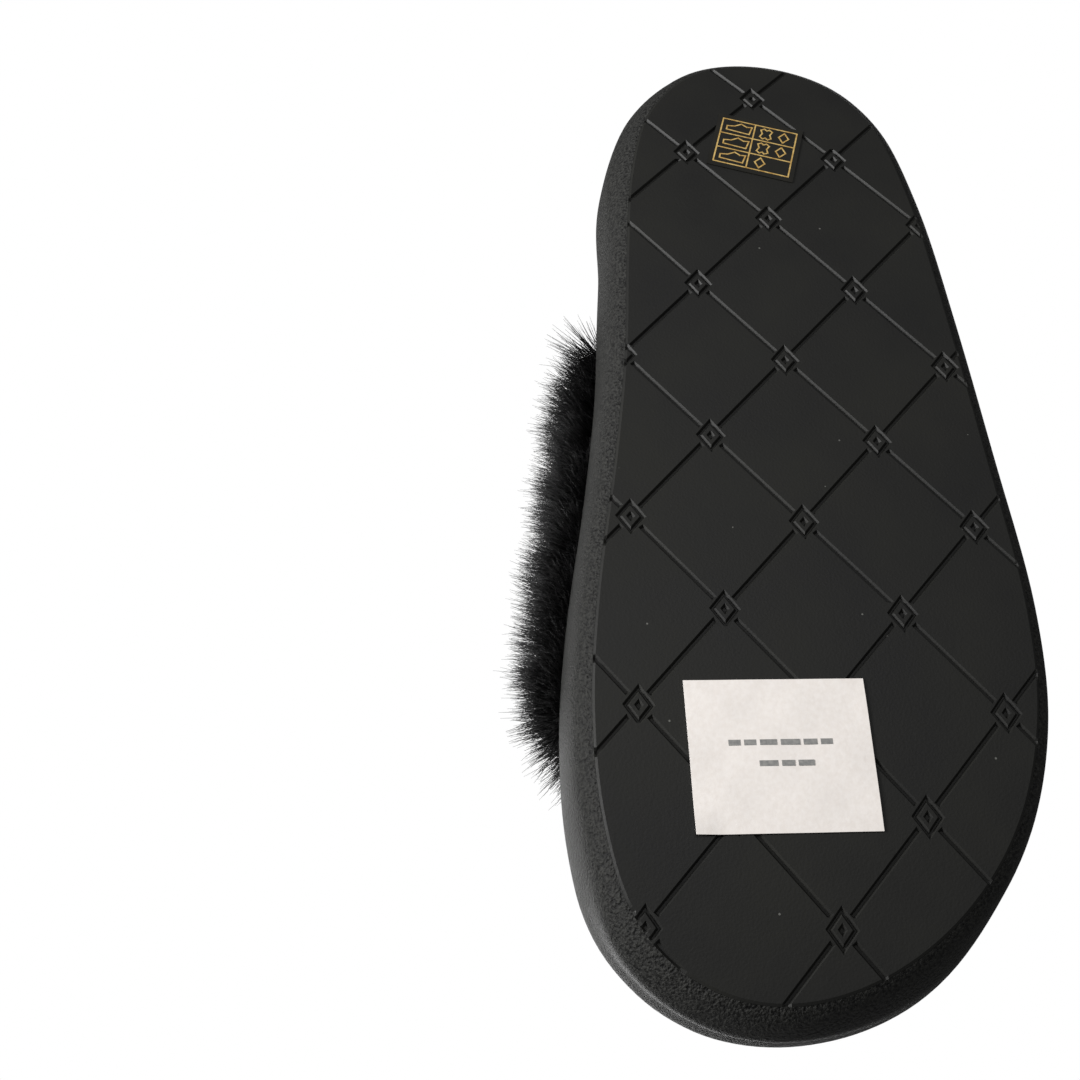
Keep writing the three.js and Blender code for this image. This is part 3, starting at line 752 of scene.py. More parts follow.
class SLIDE_OT_inner_layers(bpy.types.Operator):
    """Gives the hidden layers inside the cup their materials"""
    bl_idname = "slide.inner_layers"
    bl_label = "Finish inner layers"

    def execute(self, context):
        foam = surface("closed_cell_foam", linear("#434341"), linear("#4c4c49"), 6,
                       (0.85, 0.95), [("pebble", 0.8, 0.2, 0.6)])
        # Needled felt: pale, hairy and uneven.
        felt = surface("needled_felt", linear("#857c6d"), linear("#978e7e"), 3,
                       (0.9, 0.98), [("noise", 0.5, 0.2, 0.7)])
        # Pressed cellulose board: tan with darker fibres.
        board = surface("cellulose_board", linear("#775f3f"), linear("#8c7350"), 2,
                        (0.75, 0.9), [("noise", 0.7, 0.08, 0.5)])
        soft = surface("soft_moulded_foam", linear("#363638"), linear("#3f3f42"), 5,
                       (0.88, 0.96), [("pebble", 0.6, 0.15, 0.6)])
        # Woven polyester backing: flat, ribbed and faintly shiny.
        web = surface("woven_backing_cloth", linear("#121213"), linear("#1b1b1d"), 4,
                      (0.6, 0.75), [("knit", 1.2, 0.12, 0.7)])
        for node, material in (("cushion_core", foam), ("bottom_filler", felt),
                               ("insole_board", board), ("footbed_foam", soft),
                               ("band_web", web)):
            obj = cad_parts[node]
            obj.data.materials.clear()
            obj.data.materials.append(material)
        return {"FINISHED"}


# ------------------------------------------------------------------ operators: band

def band_tube(fractions, section):
    """A closed tube along the arch; section gives (along the sole, depth) pairs."""
    rings = []
    for fraction in fractions:
        along, depth = section(fraction)
        along = np.array(along, float)
        point, normal = arch_face(np.full(len(along), fraction), along)
        height = point[:, 2] - rocker(along)
        amount = np.array([d(h) if callable(d) else d for d, h in zip(depth, height)])
        rings.append(point + normal * amount[:, None])
    return loft(rings)


def crowded(start, count):
    """Fractions over the arch, closest together down the legs."""
    even = np.linspace(0, 1, count)
    eased = even - 0.7 * np.sin(2 * np.pi * even) / (2 * np.pi)
    return start + (1 - 2 * start) * eased


def swell(obj, pinned, cap, pressure=4.0):
    """Inflates a closed soft piece a little with a cloth simulation."""
    scene = bpy.context.scene
    rest = np.array([v.co for v in obj.data.vertices])
    group = obj.vertex_groups.new(name="held")
    for index, weight in enumerate(pinned):
        group.add([index], float(weight), "REPLACE")
    cloth = obj.modifiers.new("Cloth", "CLOTH")
    cloth.settings.use_pressure = True
    cloth.settings.uniform_pressure_force = pressure
    cloth.settings.effector_weights.gravity = 0
    cloth.settings.vertex_group_mass = "held"
    cloth.settings.quality = 5
    cloth.collision_settings.use_collision = False
    cloth.point_cache.frame_start, cloth.point_cache.frame_end = 1, 20
    for step in range(1, 21):
        scene.frame_set(step)
    evaluated = obj.evaluated_get(bpy.context.evaluated_depsgraph_get())
    moved = np.array([v.co for v in evaluated.data.vertices])
    obj.modifiers.remove(cloth)
    obj.vertex_groups.remove(group)
    scene.frame_set(1)
    step = moved - rest
    length = np.linalg.norm(step, axis=1, keepdims=True)
    return step * np.minimum(1, cap * MM / np.maximum(length, 1e-9))


class SLIDE_OT_lining(bpy.types.Operator):
    """Makes the band's padded lining, swollen a little towards the foot"""
    bl_idname = "slide.lining"
    bl_label = "Build padded lining"

    def execute(self, context):
        def section(fraction):
            front, rear = band_edge(BAND_FRONT, fraction), band_edge(BAND_REAR, fraction)
            inner = np.linspace(front, rear, LINING_STEPS)
            return (np.concatenate([inner, inner[::-1]]),
                    [0.3] * LINING_STEPS + [lambda h: web_back(h) - 1.1] * LINING_STEPS)
        points, faces = band_tube(crowded(0.0, 90), section)
        lining = make_object("padded_band_lining", points, faces, sharp=50)
        remesh = lining.modifiers.new("Remesh", "REMESH")
        remesh.mode, remesh.voxel_size = "VOXEL", 1.2 * MM
        evaluated = lining.evaluated_get(context.evaluated_depsgraph_get())
        mesh = bpy.data.meshes.new_from_object(evaluated)
        lining.modifiers.remove(remesh)
        lining.data = mesh
        co = np.array([v.co for v in mesh.vertices])
        local = co / MM - np.array([*SHIFT, 0])
        # Held in the legs and along both bound edges; only the inner side swells.
        held = np.clip((36 - local[:, 2]) / 4, 0, 1)
        fraction = np.arctan2(local[:, 2] - LEG_BOTTOM, local[:, 0]) / np.pi
        from_front = local[:, 1] - band_edge(BAND_FRONT, fraction)
        from_rear = band_edge(BAND_REAR, fraction) - local[:, 1]
        near_edge = np.minimum(from_front, from_rear)
        held = np.maximum(held, np.clip((7 - near_edge) / 3, 0, 1))
        step = swell(lining, held, cap=2.2)
        normals = np.array([v.normal for v in mesh.vertices])
        centre = np.array([0, 0, LEG_BOTTOM + 12])
        outward = local - centre
        outward[:, 1] = 0
        outward /= np.linalg.norm(outward, axis=1, keepdims=True)
        inward_side = np.clip(-(normals * outward).sum(1), 0, 1)
        mesh.vertices.foreach_set("co", (co + step * inward_side[:, None]).ravel())
        mesh.update()
        mesh.polygons.foreach_set("use_smooth", [True] * len(mesh.polygons))
        finish(lining, lining_knit(), "lining_cloth", "band_lining", "band_padding")
        return {"FINISHED"}


class SLIDE_OT_bindings(bpy.types.Operator):
    """Makes the grosgrain tape over the band's front and rear edges"""
    bl_idname = "slide.bindings"
    bl_label = "Build bindings"

    def execute(self, context):
        tape = binding_tape()
        # The tape's inside, then its outside: from the lining round the edge to the backing.
        wrap = spline([(-7, -0.55), (-2, -0.75), (0.3, -0.6), (1.1, 0.4), (1.25, 2.6),
                       (1.2, 4.6), (0.8, 5.5)], 22)
        back = [(past - 0.7, depth) if depth > 0.2 else (past, depth + 0.75)
                for past, depth in wrap[::-1]]
        pairs = [*wrap, *back]

        def fitted(depth):
            """The tape's depth, drawn in where the band is thin."""
            if depth < 1.5:
                return depth
            return lambda h: 1.5 + (depth - 1.5) * (web_back(h) - 1.6) / 5.0

        for name, edge, way in (("front_binding", BAND_FRONT, -1),
                                ("rear_binding", BAND_REAR, 1)):
            def section(fraction, edge=edge, way=way):
                at = band_edge(edge, fraction)
                return ([at + way * past for past, _ in pairs],
                        [fitted(depth) for _, depth in pairs])
            obj = make_object(name + "_tape", *band_tube(crowded(0.05, 110), section), sharp=50)
            finish(obj, tape, "binding_tape", name)
        return {"FINISHED"}


def stitch_tree(material):
    """Node tree: short bars of thread spaced evenly along the path that it is given."""
    tree = bpy.data.node_groups.new("stitch_row", "GeometryNodeTree")
    face = tree.interface
    face.new_socket("Geometry", in_out="INPUT", socket_type="NodeSocketGeometry")
    for label in ("Spacing", "Stitch Length", "Thread Radius"):
        face.new_socket(label, in_out="INPUT", socket_type="NodeSocketFloat")
    face.new_socket("Geometry", in_out="OUTPUT", socket_type="NodeSocketGeometry")
    given = add(tree, "NodeGroupInput").outputs
    curve = add(tree, "GeometryNodeMeshToCurve", {"Mesh": given["Geometry"]}).outputs[0]
    spots = add(tree, "GeometryNodeCurveToPoints", {
        "Curve": curve, "Length": given["Spacing"]}, mode="LENGTH")
    bead = add(tree, "GeometryNodeMeshUVSphere", {"Segments": 8, "Rings": 6, "Radius": 1.0})
    size = add(tree, "ShaderNodeCombineXYZ", {
        "X": given["Thread Radius"], "Y": given["Thread Radius"], "Z": given["Stitch Length"]})
    placed = add(tree, "GeometryNodeInstanceOnPoints", {
        "Points": spots.outputs["Points"], "Instance": bead.outputs["Mesh"],
        "Rotation": spots.outputs["Rotation"], "Scale": size.outputs[0]}).outputs[0]
    real = add(tree, "GeometryNodeRealizeInstances", {"Geometry": placed}).outputs[0]
    soft = add(tree, "GeometryNodeSetShadeSmooth", {"Geometry": real}).outputs[0]
    done = add(tree, "GeometryNodeSetMaterial", {"Geometry": soft, "Material": material})
    result = add(tree, "NodeGroupOutput")
    tree.links.new(done.outputs[0], result.inputs[0])
    return tree


def grown(obj, tree, values):
    """Runs a node tree on a carrier object and keeps the result as a plain mesh."""
    modifier = obj.modifiers.new(tree.name, "NODES")
    modifier.node_group = tree
    names = {s.name: s.identifier for s in tree.interface.items_tree
             if getattr(s, "in_out", "") == "INPUT"}
    for name, value in values.items():
        modifier[names[name]] = value
    bpy.context.view_layer.update()
    evaluated = obj.evaluated_get(bpy.context.evaluated_depsgraph_get())
    mesh = bpy.data.meshes.new_from_object(evaluated)
    obj.modifiers.remove(modifier)
    obj.data = mesh
    return obj


def path_object(name, points, closed=False):
    """A chain of edges from points in millimetres, moved into the frame."""
    points = np.array(points, float)
    points[:, :2] += SHIFT
    mesh = bpy.data.meshes.new(name)
    lines = [(k, k + 1) for k in range(len(points) - 1)]
    if closed:
        lines.append((len(points) - 1, 0))
    mesh.from_pydata((points * MM).tolist(), lines, [])
    return link(name, mesh)


class SLIDE_OT_stitches(bpy.types.Operator):
    """Sews the rows of stitches on both bindings and round the footbed"""
    bl_idname = "slide.stitches"
    bl_label = "Sew stitches"

    def execute(self, context):
        thread = sewing_thread()
        tree = stitch_tree(thread)
        sizes = {"Spacing": 3.3 * MM, "Stitch Length": 1.35 * MM, "Thread Radius": 0.34 * MM}
        fractions = crowded(0.07, 160)
        for name, edge, way in (("front_stitching", BAND_FRONT, -1),
                                ("rear_stitching", BAND_REAR, 1)):
            y = band_edge(edge, fractions) - way * STITCH_FROM_EDGE
            row = path_object(name + "_row", layer(fractions, y, -0.85))
            finish(grown(row, tree, sizes), thread, "thread", name)
        cover = bpy.data.objects["footbed_top_cloth"]
        tree_of_faces = BVHTree.FromObject(cover, context.evaluated_depsgraph_get())
        # Dropped on the cover from above, so the row follows its curve.
        spots = ring(lambda y: bed_offset(y) - BED_STITCH_INSET, 40.0)
        for spot in spots:
            above = Vector((*(spot[:2] + SHIFT), spot[2])) * MM
            hit = tree_of_faces.ray_cast(above, Vector((0, 0, -1)))[0]
            spot[2] = hit.z / MM + 0.12
        row = path_object("footbed_edge_stitches", spots, closed=True)
        finish(grown(row, tree, sizes), thread, "thread")
        return {"FINISHED"}


def fur_tree():
    """Node tree: tapered tufts that grow from a surface, hang, and lean together."""
    tree = bpy.data.node_groups.new("pile", "GeometryNodeTree")
    face = tree.interface
    face.new_socket("Geometry", in_out="INPUT", socket_type="NodeSocketGeometry")
    for label in ("Density", "Length", "Radius", "Clump Size", "Clump Pull", "Hang", "Stray"):
        face.new_socket(label, in_out="INPUT", socket_type="NodeSocketFloat")
    face.new_socket("Seed", in_out="INPUT", socket_type="NodeSocketInt")
    face.new_socket("Material", in_out="INPUT", socket_type="NodeSocketMaterial")
    face.new_socket("Geometry", in_out="OUTPUT", socket_type="NodeSocketGeometry")
    given = add(tree, "NodeGroupInput").outputs

    def vector(operation, *values):
        return add(tree, "ShaderNodeVectorMath", dict(enumerate(values)),
                   operation=operation).outputs["Value" if operation == "DOT_PRODUCT" else "Vector"]

    def scaled(value, factor):
        return add(tree, "ShaderNodeVectorMath", {"Vector": value, "Scale": factor},
                   operation="SCALE").outputs["Vector"]

    def number(operation, *values):
        return add(tree, "ShaderNodeMath", dict(enumerate(values)),
                   operation=operation).outputs[0]

    def keep(geometry, name, kind, value, domain="POINT"):
        return add(tree, "GeometryNodeStoreNamedAttribute", {
            "Geometry": geometry, "Name": name, "Value": value},
            data_type=kind, domain=domain).outputs[0]

    def recall(name, kind):
        return add(tree, "GeometryNodeInputNamedAttribute", {"Name": name},
                   data_type=kind).outputs["Attribute"]

    # Roots, each with its place, its direction and a random lot.
    spots = add(tree, "GeometryNodeDistributePointsOnFaces", {
        "Mesh": given["Geometry"], "Density": given["Density"], "Seed": given["Seed"]})
    position = add(tree, "GeometryNodeInputPosition").outputs[0]
    points = keep(spots.outputs["Points"], "root", "FLOAT_VECTOR", position)
    points = keep(points, "grow", "FLOAT_VECTOR", spots.outputs["Normal"])
    chance = add(tree, "FunctionNodeRandomValue", {"Seed": given["Seed"]}, data_type="FLOAT")
    points = keep(points, "lot", "FLOAT", chance.outputs["Value"])
    # One tuft is a three-sided cone that is turned, tilted and shortened at random.
    cone = add(tree, "GeometryNodeMeshCone", {
        "Vertices": 3, "Side Segments": 3, "Fill Segments": 1, "Radius Top": 0.00003,
        "Radius Bottom": given["Radius"], "Depth": given["Length"]}).outputs["Mesh"]
    spot = add(tree, "ShaderNodeSeparateXYZ", {"Vector": position}).outputs
    cone = keep(cone, "along", "FLOAT", number("DIVIDE", spot["Z"], given["Length"]))
    cone = keep(cone, "side", "FLOAT", number("DIVIDE", spot["X"], given["Radius"]))
    tilt = add(tree, "FunctionNodeRandomValue", {
        0: (-0.32, -0.32, -3.1), 1: (0.32, 0.32, 3.1), "Seed": 11}, data_type="FLOAT_VECTOR")
    turned = add(tree, "FunctionNodeRotateRotation", {
        "Rotation": spots.outputs["Rotation"], "Rotate By": tilt.outputs["Value"]},
        rotation_space="LOCAL").outputs[0]
    height = add(tree, "FunctionNodeRandomValue", {2: 0.62, 3: 1.0, "Seed": 5},
                 data_type="FLOAT").outputs[1]
    reach = recall("reach", "FLOAT")
    tall = number("MULTIPLY", height, reach)
    size = add(tree, "ShaderNodeCombineXYZ", {"X": 1.0, "Y": 1.0, "Z": tall}).outputs[0]
    placed = add(tree, "GeometryNodeInstanceOnPoints", {
        "Points": points, "Instance": cone, "Rotation": turned, "Scale": size}).outputs[0]
    real = add(tree, "GeometryNodeRealizeInstances", {"Geometry": placed}).outputs[0]
    # Each tuft bends more towards its tip: down, together in clumps, and a little astray.
    root, grow = recall("root", "FLOAT_VECTOR"), recall("grow", "FLOAT_VECTOR")
    along = recall("along", "FLOAT")
    curl = number("MULTIPLY", number("POWER", along, 1.7), reach)
    down = (0.0, -0.12, -1.0)
    against = vector("DOT_PRODUCT", grow, down)
    hang = vector("NORMALIZE", vector("SUBTRACT", down, scaled(grow, against)))
    cell = add(tree, "ShaderNodeTexVoronoi", {
        "Vector": root, "Scale": number("DIVIDE", 1.0, given["Clump Size"])},
        feature="F1").outputs["Position"]
    lean = scaled(vector("SUBTRACT", cell, root), given["Clump Pull"])
    wild = add(tree, "ShaderNodeTexNoise", {"Vector": root, "Scale": 260.0, "Detail": 2.0})
    stray = scaled(vector("SUBTRACT", wild.outputs["Color"], (0.5, 0.5, 0.5)), given["Stray"])
    droop = scaled(hang, given["Hang"])
    sink = scaled(grow, number("MULTIPLY", given["Hang"], -0.45))
    total = vector("ADD", vector("ADD", droop, sink), vector("ADD", lean, stray))
    moved = add(tree, "GeometryNodeSetPosition", {
        "Geometry": real, "Offset": scaled(total, curl)}).outputs[0]
    # Texture map: the lot runs across it and the tuft's length up it.
    across = number("MULTIPLY_ADD", recall("side", "FLOAT"), 0.01, 0.01)
    across = number("MULTIPLY_ADD", recall("lot", "FLOAT"), 0.97, across)
    place = add(tree, "ShaderNodeCombineXYZ", {"X": across, "Y": along})
    mapped = keep(moved, "OFBake", "FLOAT2", place.outputs[0], domain="CORNER")
    soft = add(tree, "GeometryNodeSetShadeSmooth", {"Geometry": mapped}).outputs[0]
    done = add(tree, "GeometryNodeSetMaterial", {"Geometry": soft, "Material": given["Material"]})
    result = add(tree, "NodeGroupOutput")
    tree.links.new(done.outputs[0], result.inputs[0])
    return tree


def pile_ground(low, high, steps):
    """The cloth's outer face between two fractions, with both edges rolled under."""
    fractions = np.linspace(low, high, steps)
    front, rear = band_edge(BAND_FRONT, fractions), band_edge(BAND_REAR, fractions)
    roll = np.radians([100, 75, 50, 25])
    columns = [(front - EDGE_ROLL * math.sin(a), EDGE_ROLL * (1 - math.cos(a))) for a in roll]
    columns += [(front + (rear - front) * share, 0) for share in np.linspace(0, 1, 16)]
    columns += [(rear + EDGE_ROLL * math.sin(a), EDGE_ROLL * (1 - math.cos(a)))
                for a in roll[::-1]]
    grid = np.array([
        layer(fractions, along, lambda h, s=sink: cloth_back(h) - s * blend(h, 27, 40))
        for along, sink in columns])
    wide, tall = grid.shape[:2]
    height = grid[..., 2] - rocker(grid[..., 1])
    # The pile is shorter low down, most of all on the outer side.
    short = np.where(grid[..., 0] < 0, 1 - SHORT_TUFT, (1 - SHORT_TUFT) / 3)
    reach = 1 - short * (1 - blend(height, 32, 56))
    faces = [(i * tall + j, (i + 1) * tall + j, (i + 1) * tall + j + 1, i * tall + j + 1)
             for i in range(wide - 1) for j in range(tall - 1)]
    return grid.reshape(-1, 3), faces, reach.ravel()


def bed_depth(height, share):
    """Depth in the bed of roots: 0 is on the cloth, 1 is its outer face."""
    return web_back(height) + 0.35 + (0.9 + 7.4 * blend(height, 27.5, 42)) * share


class SLIDE_OT_fur(bpy.types.Operator):
    """Grows the black pile on the band, over a bed of packed roots"""
    bl_idname = "slide.fur"
    bl_label = "Grow fur"

    def execute(self, context):
        settings = context.scene.slide_fur
        rng = np.random.default_rng(settings.seed)

        def section(fraction):
            front, rear = band_edge(BAND_FRONT, fraction), band_edge(BAND_REAR, fraction)
            angles = np.linspace(0, math.pi, 12)[1:-1]
            inner = np.linspace(front, rear, 14)
            outer = np.linspace(rear, front, 30)
            along = np.concatenate([inner, rear + EDGE_ROLL * np.sin(angles), outer,
                                    front - EDGE_ROLL * np.sin(angles)])
            round_rear = (1 - np.cos(angles)) / 2
            shares = [0.0] * 14 + [*round_rear] + [1.0] * 30 + [*(1 - round_rear)]
            return along, [lambda h, s=s: bed_depth(h, s) for s in shares]
        points, faces = band_tube(crowded(0.0, 120), section)
        bed = make_object("pile_root_bed", points, faces, sharp=80)
        finish(bed, pile_bed(), "faux_fur", "fur_shell")
        tree = fur_tree()
        fibre = pile_material()
        cuts = np.linspace(0.045, 0.955, 9)
        for index in range(8):
            points, faces, reach = pile_ground(cuts[index], cuts[index + 1], 26)
            ground = make_object(f"pile_{index + 1}", points, faces)
            sizes = ground.data.attributes.new("reach", "FLOAT", "POINT")
            sizes.data.foreach_set("value", reach)
            area = sum(p.area for p in ground.data.polygons)
            values = {"Density": settings.strands / area, "Length": settings.length,
                      "Radius": settings.width, "Clump Size": settings.clump,
                      "Clump Pull": 0.75, "Hang": 5.0 * MM, "Stray": 14.0 * MM,
                      "Seed": int(rng.integers(1, 9999)), "Material": fibre}
            grown(ground, tree, values)
            finish(ground, fibre, "faux_fur", "fur_shell")
        return {"FINISHED"}


# ------------------------------------------------------------------ operators: labels

def on_tread(local, at, turn, lift):
    """Places points of a flat label under the tread, following its curve."""
    local = np.array(local, float)
    cos, sin = math.cos(math.radians(turn)), math.sin(math.radians(turn))
    x = at[0] + cos * local[:, 0] - sin * local[:, 1]
    y = at[1] + sin * local[:, 0] + cos * local[:, 1]
    height = local[:, 2] if local.shape[1] > 2 else 0.0
    return np.column_stack([x, y, rocker(y) - lift - height])


def sheet_mesh(wide, tall, thick, steps, curl):
    """A thin closed sheet; curl gives how far a point lifts off the tread."""
    grid = [(x, y) for y in np.linspace(-tall / 2, tall / 2, steps)
            for x in np.linspace(-wide / 2, wide / 2, steps)]
    low = [(x, y, curl(x, y)) for x, y in grid]
    high = [(x, y, curl(x, y) + thick) for x, y in grid]
    count = len(grid)
    faces = []
    for j in range(steps - 1):
        for i in range(steps - 1):
            a = j * steps + i
            quad = (a, a + 1, a + steps + 1, a + steps)
            faces.append(quad)
            faces.append(tuple(q + count for q in quad[::-1]))
    edge = (list(range(steps)) + [j * steps + steps - 1 for j in range(1, steps)]
            + [(steps - 1) * steps + i for i in range(steps - 2, -1, -1)]
            + [j * steps for j in range(steps - 2, 0, -1)])
    for k, a in enumerate(edge):
        b = edge[(k + 1) % len(edge)]
        faces.append((b, a, a + count, b + count))
    return low + high, faces


def strokes(lines, width, thick):
    """Flat bars along the given line segments, each a closed thin box."""
    points, faces = [], []
    for first, last in lines:
        first, last = np.array(first, float), np.array(last, float)
        run = (last - first) / np.hypot(*(last - first))
        side = np.array([-run[1], run[0]]) * width / 2
        first, last = first - run * width / 2, last + run * width / 2
        parts = max(1, round(np.hypot(*(last - first)) / STROKE_STEP))
        start = len(points)
        for k in range(parts + 1):
            here = first + (last - first) * k / parts
            points += [(*(here - side), 0.0), (*(here + side), 0.0),
                       (*(here + side), thick), (*(here - side), thick)]
        for k in range(parts):
            low, high = start + 4 * k, start + 4 * k + 4
            faces += [(low + j, high + j, high + (j + 1) % 4, low + (j + 1) % 4)
                      for j in range(4)]
        faces += [(start, start + 1, start + 2, start + 3),
                  (high + 3, high + 2, high + 1, high)]
    return points, faces


def chain(*points, closed=True):
    """Line segments from each point to the next."""
    pts = list(points)
    if closed:
        pts.append(pts[0])
    return list(zip(pts[:-1], pts[1:]))


def sticker_lines():
    """A ruled frame with simple pictures: three shoes, two hides and three diamonds."""
    left, right = FRAME_WIDE / 2, -FRAME_WIDE / 2
    low, high = -FRAME_TALL / 2, FRAME_TALL / 2
    row_tall = FRAME_TALL / 3
    lines = chain((left, low), (right, low), (right, high), (left, high))
    lines += chain((FRAME_CUT, low), (FRAME_CUT, high), closed=False)
    for row in (1, 2):
        lines += chain((left, low + row_tall * row), (right, low + row_tall * row), closed=False)
    shoe = ((8.4, -1.3), (1.9, -1.6), (1.5, 1.5), (3.0, 1.2), (4.6, 2.0), (6.4, 0.6), (8.4, 0.2))
    hide = ((1.6, 1.4), (0.7, 2.1), (0, 1.5), (-0.7, 2.1), (-1.6, 1.4), (-1.1, 0), (-1.6, -1.4),
            (-0.7, -2.1), (0, -1.5), (0.7, -2.1), (1.6, -1.4), (1.1, 0))
    diamond = ((1.4, 0), (0, 2.0), (-1.4, 0), (0, -2.0))
    for row, pictures in enumerate(((diamond,), (hide, diamond), (hide, diamond))):
        middle = low + row_tall * (row + 0.5)
        lines += chain(*[(x + 0.6, middle + y) for x, y in shoe])
        for column, picture in enumerate(pictures):
            centre = FRAME_CUT - 3.4 - column * 5.0
            lines += chain(*[(centre + x, middle + y) for x, y in picture])
    return lines


class SLIDE_OT_labels(bpy.types.Operator):
    """Makes the paper label and the gold-printed sticker under the sole"""
    bl_idname = "slide.labels"
    bl_label = "Build labels"

    def execute(self, context):
        half_wide, half_tall = LABEL_WIDE / 2, LABEL_TALL / 2

        def curl(x, y):
            corner = max(0.0, x / half_wide - 0.72) * max(0.0, -y / half_tall - 0.6)
            return 0.05 * math.sin(x * 0.35) * math.cos(y * 0.3) + 4.5 * corner

        points, faces = sheet_mesh(LABEL_WIDE, LABEL_TALL, LABEL_THICK, 30, curl)
        points = on_tread(points, LABEL_AT, LABEL_TURN, LABEL_LIFT)
        paper = make_object("blank_paper_label", points, faces, sharp=60)
        finish(paper, label_paper(), "label_paper", "paper_label")
        bars, rng = [], np.random.default_rng(3)
        for row, reach in ((2.7, 10.9), (-2.0, 6.3)):
            x = -reach
            while x < reach:
                step = float(rng.uniform(1.2, 3.4))
                bars.append(((x, row), (min(x + step, reach), row)))
                x += step + 2.1
        points, faces = strokes(bars, DASH_WIDE, PRINT_THICK)
        points = on_tread(points, LABEL_AT, LABEL_TURN, LABEL_INK_LIFT)
        ink = make_object("label_dash_print", points, faces)
        finish(ink, grey_ink(), "label_paper")
        points, faces = sheet_mesh(STICKER_WIDE, STICKER_TALL, FILM_THICK, 18,
                                   lambda x, y: 0.0)
        points = on_tread(points, STICKER_AT, STICKER_TURN, FILM_LIFT)
        film = make_object("clear_film_sticker", points, faces, sharp=60)
        finish(film, sticker_film(), "sticker_film", "material_sticker")
        points, faces = strokes(sticker_lines(), GOLD_WIDE, PRINT_THICK)
        points = on_tread(points, STICKER_AT, STICKER_TURN, GOLD_LIFT)
        gold = make_object("sticker_gold_print", points, faces)
        finish(gold, gold_ink(), "sticker_film")
        return {"FINISHED"}


# ------------------------------------------------------------------ operator: stage

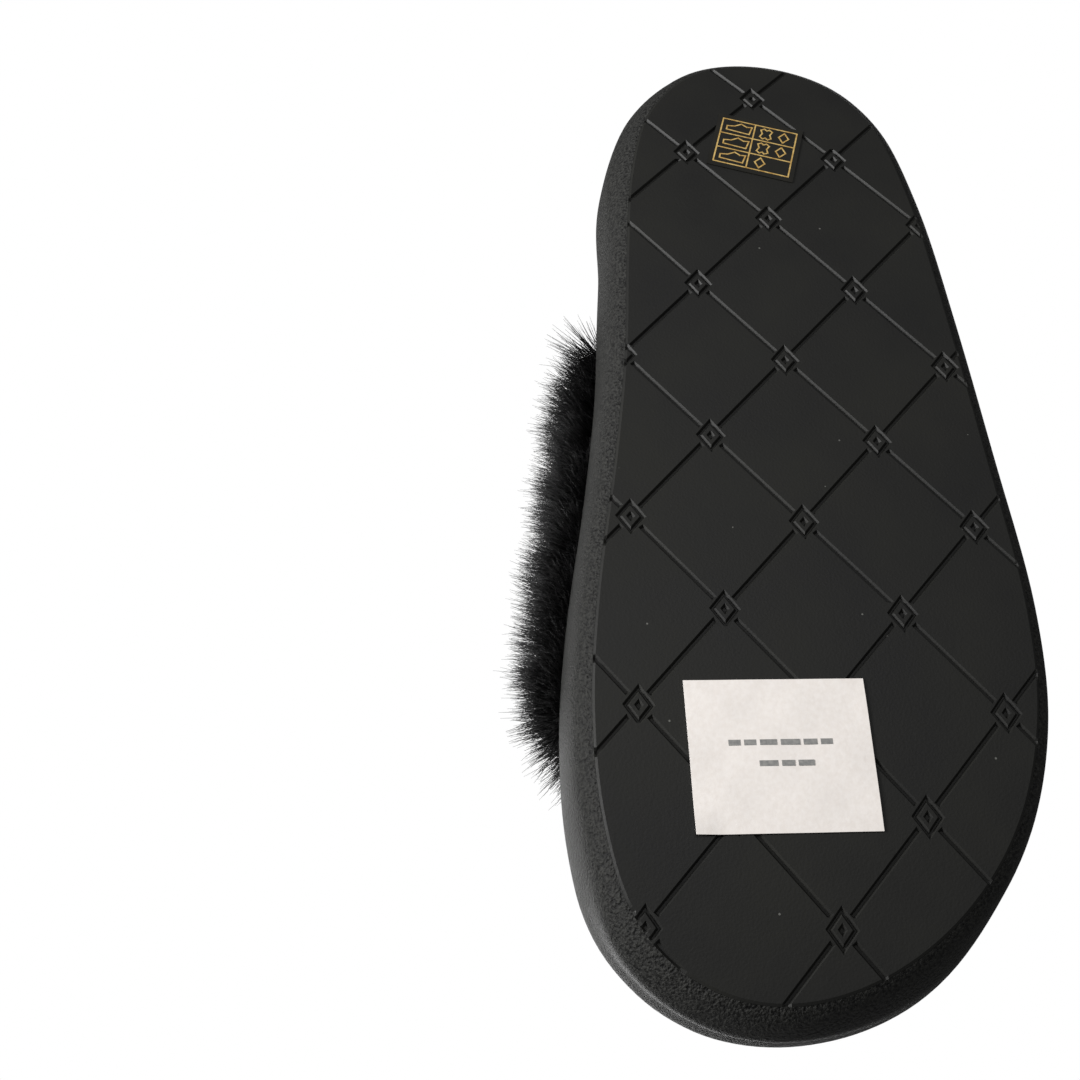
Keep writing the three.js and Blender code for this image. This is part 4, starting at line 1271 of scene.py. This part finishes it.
class SLIDE_OT_stage(bpy.types.Operator):
    """Sets the pale floor, the soft lights and the camera"""
    bl_idname = "slide.stage"
    bl_label = "Set the stage"

    def execute(self, context):
        scene, settings = context.scene, context.scene.slide_stage
        scene.view_settings.view_transform = "Standard"
        self.floor(settings)
        self.lights(scene, settings)
        self.world(scene)
        eye = np.array(EYE)
        eye[:2] += SHIFT
        right, down = Vector(EYE_RIGHT), Vector(EYE_DOWN)
        ahead = right.cross(down).normalized()
        right = down.cross(ahead).normalized()
        turn = Matrix((right, -down.normalized(), -ahead)).transposed()
        lens = bpy.data.cameras.new("camera")
        lens.sensor_width, lens.lens, lens.clip_start = 36, 50, 0.01
        camera = bpy.data.objects.new("camera", lens)
        camera.matrix_world = Matrix.Translation(Vector(eye) * MM) @ turn.to_4x4()
        scene.collection.objects.link(camera)
        scene.camera = camera
        return {"FINISHED"}

    def floor(self, settings):
        mesh = bpy.data.meshes.new("floor")
        corners = [(FLOOR_HALF * x * MM, FLOOR_HALF * y * MM, -FLOOR_DROP * MM)
                   for x, y in ((-1, -1), (1, -1), (1, 1), (-1, 1))]
        mesh.from_pydata(corners, [], [(0, 1, 2, 3)])
        floor = link("floor", mesh)
        # Painted board, seen only from its upper side.
        material = bpy.data.materials.new("pale_painted_floor")
        material.use_nodes = True
        tree = material.node_tree
        tree.nodes.clear()
        paint = add(tree, "ShaderNodeBsdfDiffuse", {"Color": (*settings.floor, 1.0)})
        nothing = add(tree, "ShaderNodeBsdfTransparent")
        side = add(tree, "ShaderNodeNewGeometry").outputs["Backfacing"]
        both = add(tree, "ShaderNodeMixShader", {
            0: side, 1: paint.outputs[0], 2: nothing.outputs[0]})
        add(tree, "ShaderNodeOutputMaterial", {"Surface": both.outputs[0]})
        mesh.materials.append(material)
        floor.visible_shadow = floor.visible_diffuse = floor.visible_glossy = False

    def lights(self, scene, settings):
        spots = (
            ("key_beside_sole", (1.0, 0.0, -0.38), 0.35, settings.key_power),
            ("fill_under_sole", (0.2, 0.35, -1.2), 0.9, 4.8),
            ("overhead_softbox", (0.1, 0.2, 1.2), 1.0, 2.5),
            ("front_softbox", (-0.2, -1.1, 1.0), 0.9, 2.0),
            ("rear_softbox", (-0.5, 1.2, 0.8), 0.8, 4.0),
        )
        for name, place, size, power in spots:
            lamp = bpy.data.lights.new(name, "AREA")
            lamp.shape, lamp.size, lamp.energy = "DISK", size, power
            obj = bpy.data.objects.new(name, lamp)
            aim = Vector((0, 0, 0.03)) - Vector(place)
            obj.matrix_world = (Matrix.Translation(Vector(place))
                                @ aim.to_track_quat("-Z", "Y").to_matrix().to_4x4())
            scene.collection.objects.link(obj)
        sky = bpy.data.lights.new("even_ceiling", "SUN")
        sky.energy, sky.angle = 2.4, math.radians(50)
        obj = bpy.data.objects.new("even_ceiling", sky)
        obj.rotation_euler = (math.radians(-8), math.radians(8), 0)
        scene.collection.objects.link(obj)

    def world(self, scene):
        world = bpy.data.worlds.new("pale_room")
        world.use_nodes = True
        tree = world.node_tree
        tree.nodes.clear()
        seen = add(tree, "ShaderNodeLightPath").outputs["Is Camera Ray"]
        room = add(tree, "ShaderNodeBackground", {"Color": (1, 1, 1, 1), "Strength": 0.15})
        wall = add(tree, "ShaderNodeBackground", {"Color": (1, 1, 1, 1), "Strength": 1.0})
        both = add(tree, "ShaderNodeMixShader", {0: seen, 1: room.outputs[0], 2: wall.outputs[0]})
        add(tree, "ShaderNodeOutputWorld", {"Surface": both.outputs[0]})
        scene.world = world


# ------------------------------------------------------------------ add-on

OPERATORS = (
    SLIDE_OT_stage, SLIDE_OT_tread, SLIDE_OT_cup, SLIDE_OT_footbed, SLIDE_OT_inner_layers,
    SLIDE_OT_lining, SLIDE_OT_bindings, SLIDE_OT_stitches, SLIDE_OT_fur, SLIDE_OT_labels,
)


class VIEW3D_PT_slide(bpy.types.Panel):
    """Lists the slide's building steps"""
    bl_label = "House Slide"
    bl_space_type = "VIEW_3D"
    bl_region_type = "UI"
    bl_category = "Slide"

    def draw(self, context):
        column = self.layout.column(align=True)
        for operator in OPERATORS:
            column.operator(operator.bl_idname, text=operator.bl_label)
        for group in (context.scene.slide_tread, context.scene.slide_fur,
                      context.scene.slide_stage):
            for name in group.bl_rna.properties.keys():
                if name not in ("rna_type", "name"):
                    self.layout.prop(group, name)


CLASSES = (TreadSettings, FurSettings, StageSettings, *OPERATORS, VIEW3D_PT_slide)


def register():
    for cls in CLASSES:
        bpy.utils.register_class(cls)
    bpy.types.Scene.slide_tread = PointerProperty(type=TreadSettings)
    bpy.types.Scene.slide_fur = PointerProperty(type=FurSettings)
    bpy.types.Scene.slide_stage = PointerProperty(type=StageSettings)


def unregister():
    del bpy.types.Scene.slide_stage
    del bpy.types.Scene.slide_fur
    del bpy.types.Scene.slide_tread
    for cls in reversed(CLASSES):
        bpy.utils.unregister_class(cls)


def main():
    register()
    for operator in OPERATORS:
        group, name = operator.bl_idname.split(".")
        getattr(getattr(bpy.ops, group), name)()


if __name__ == "__main__":
    main()
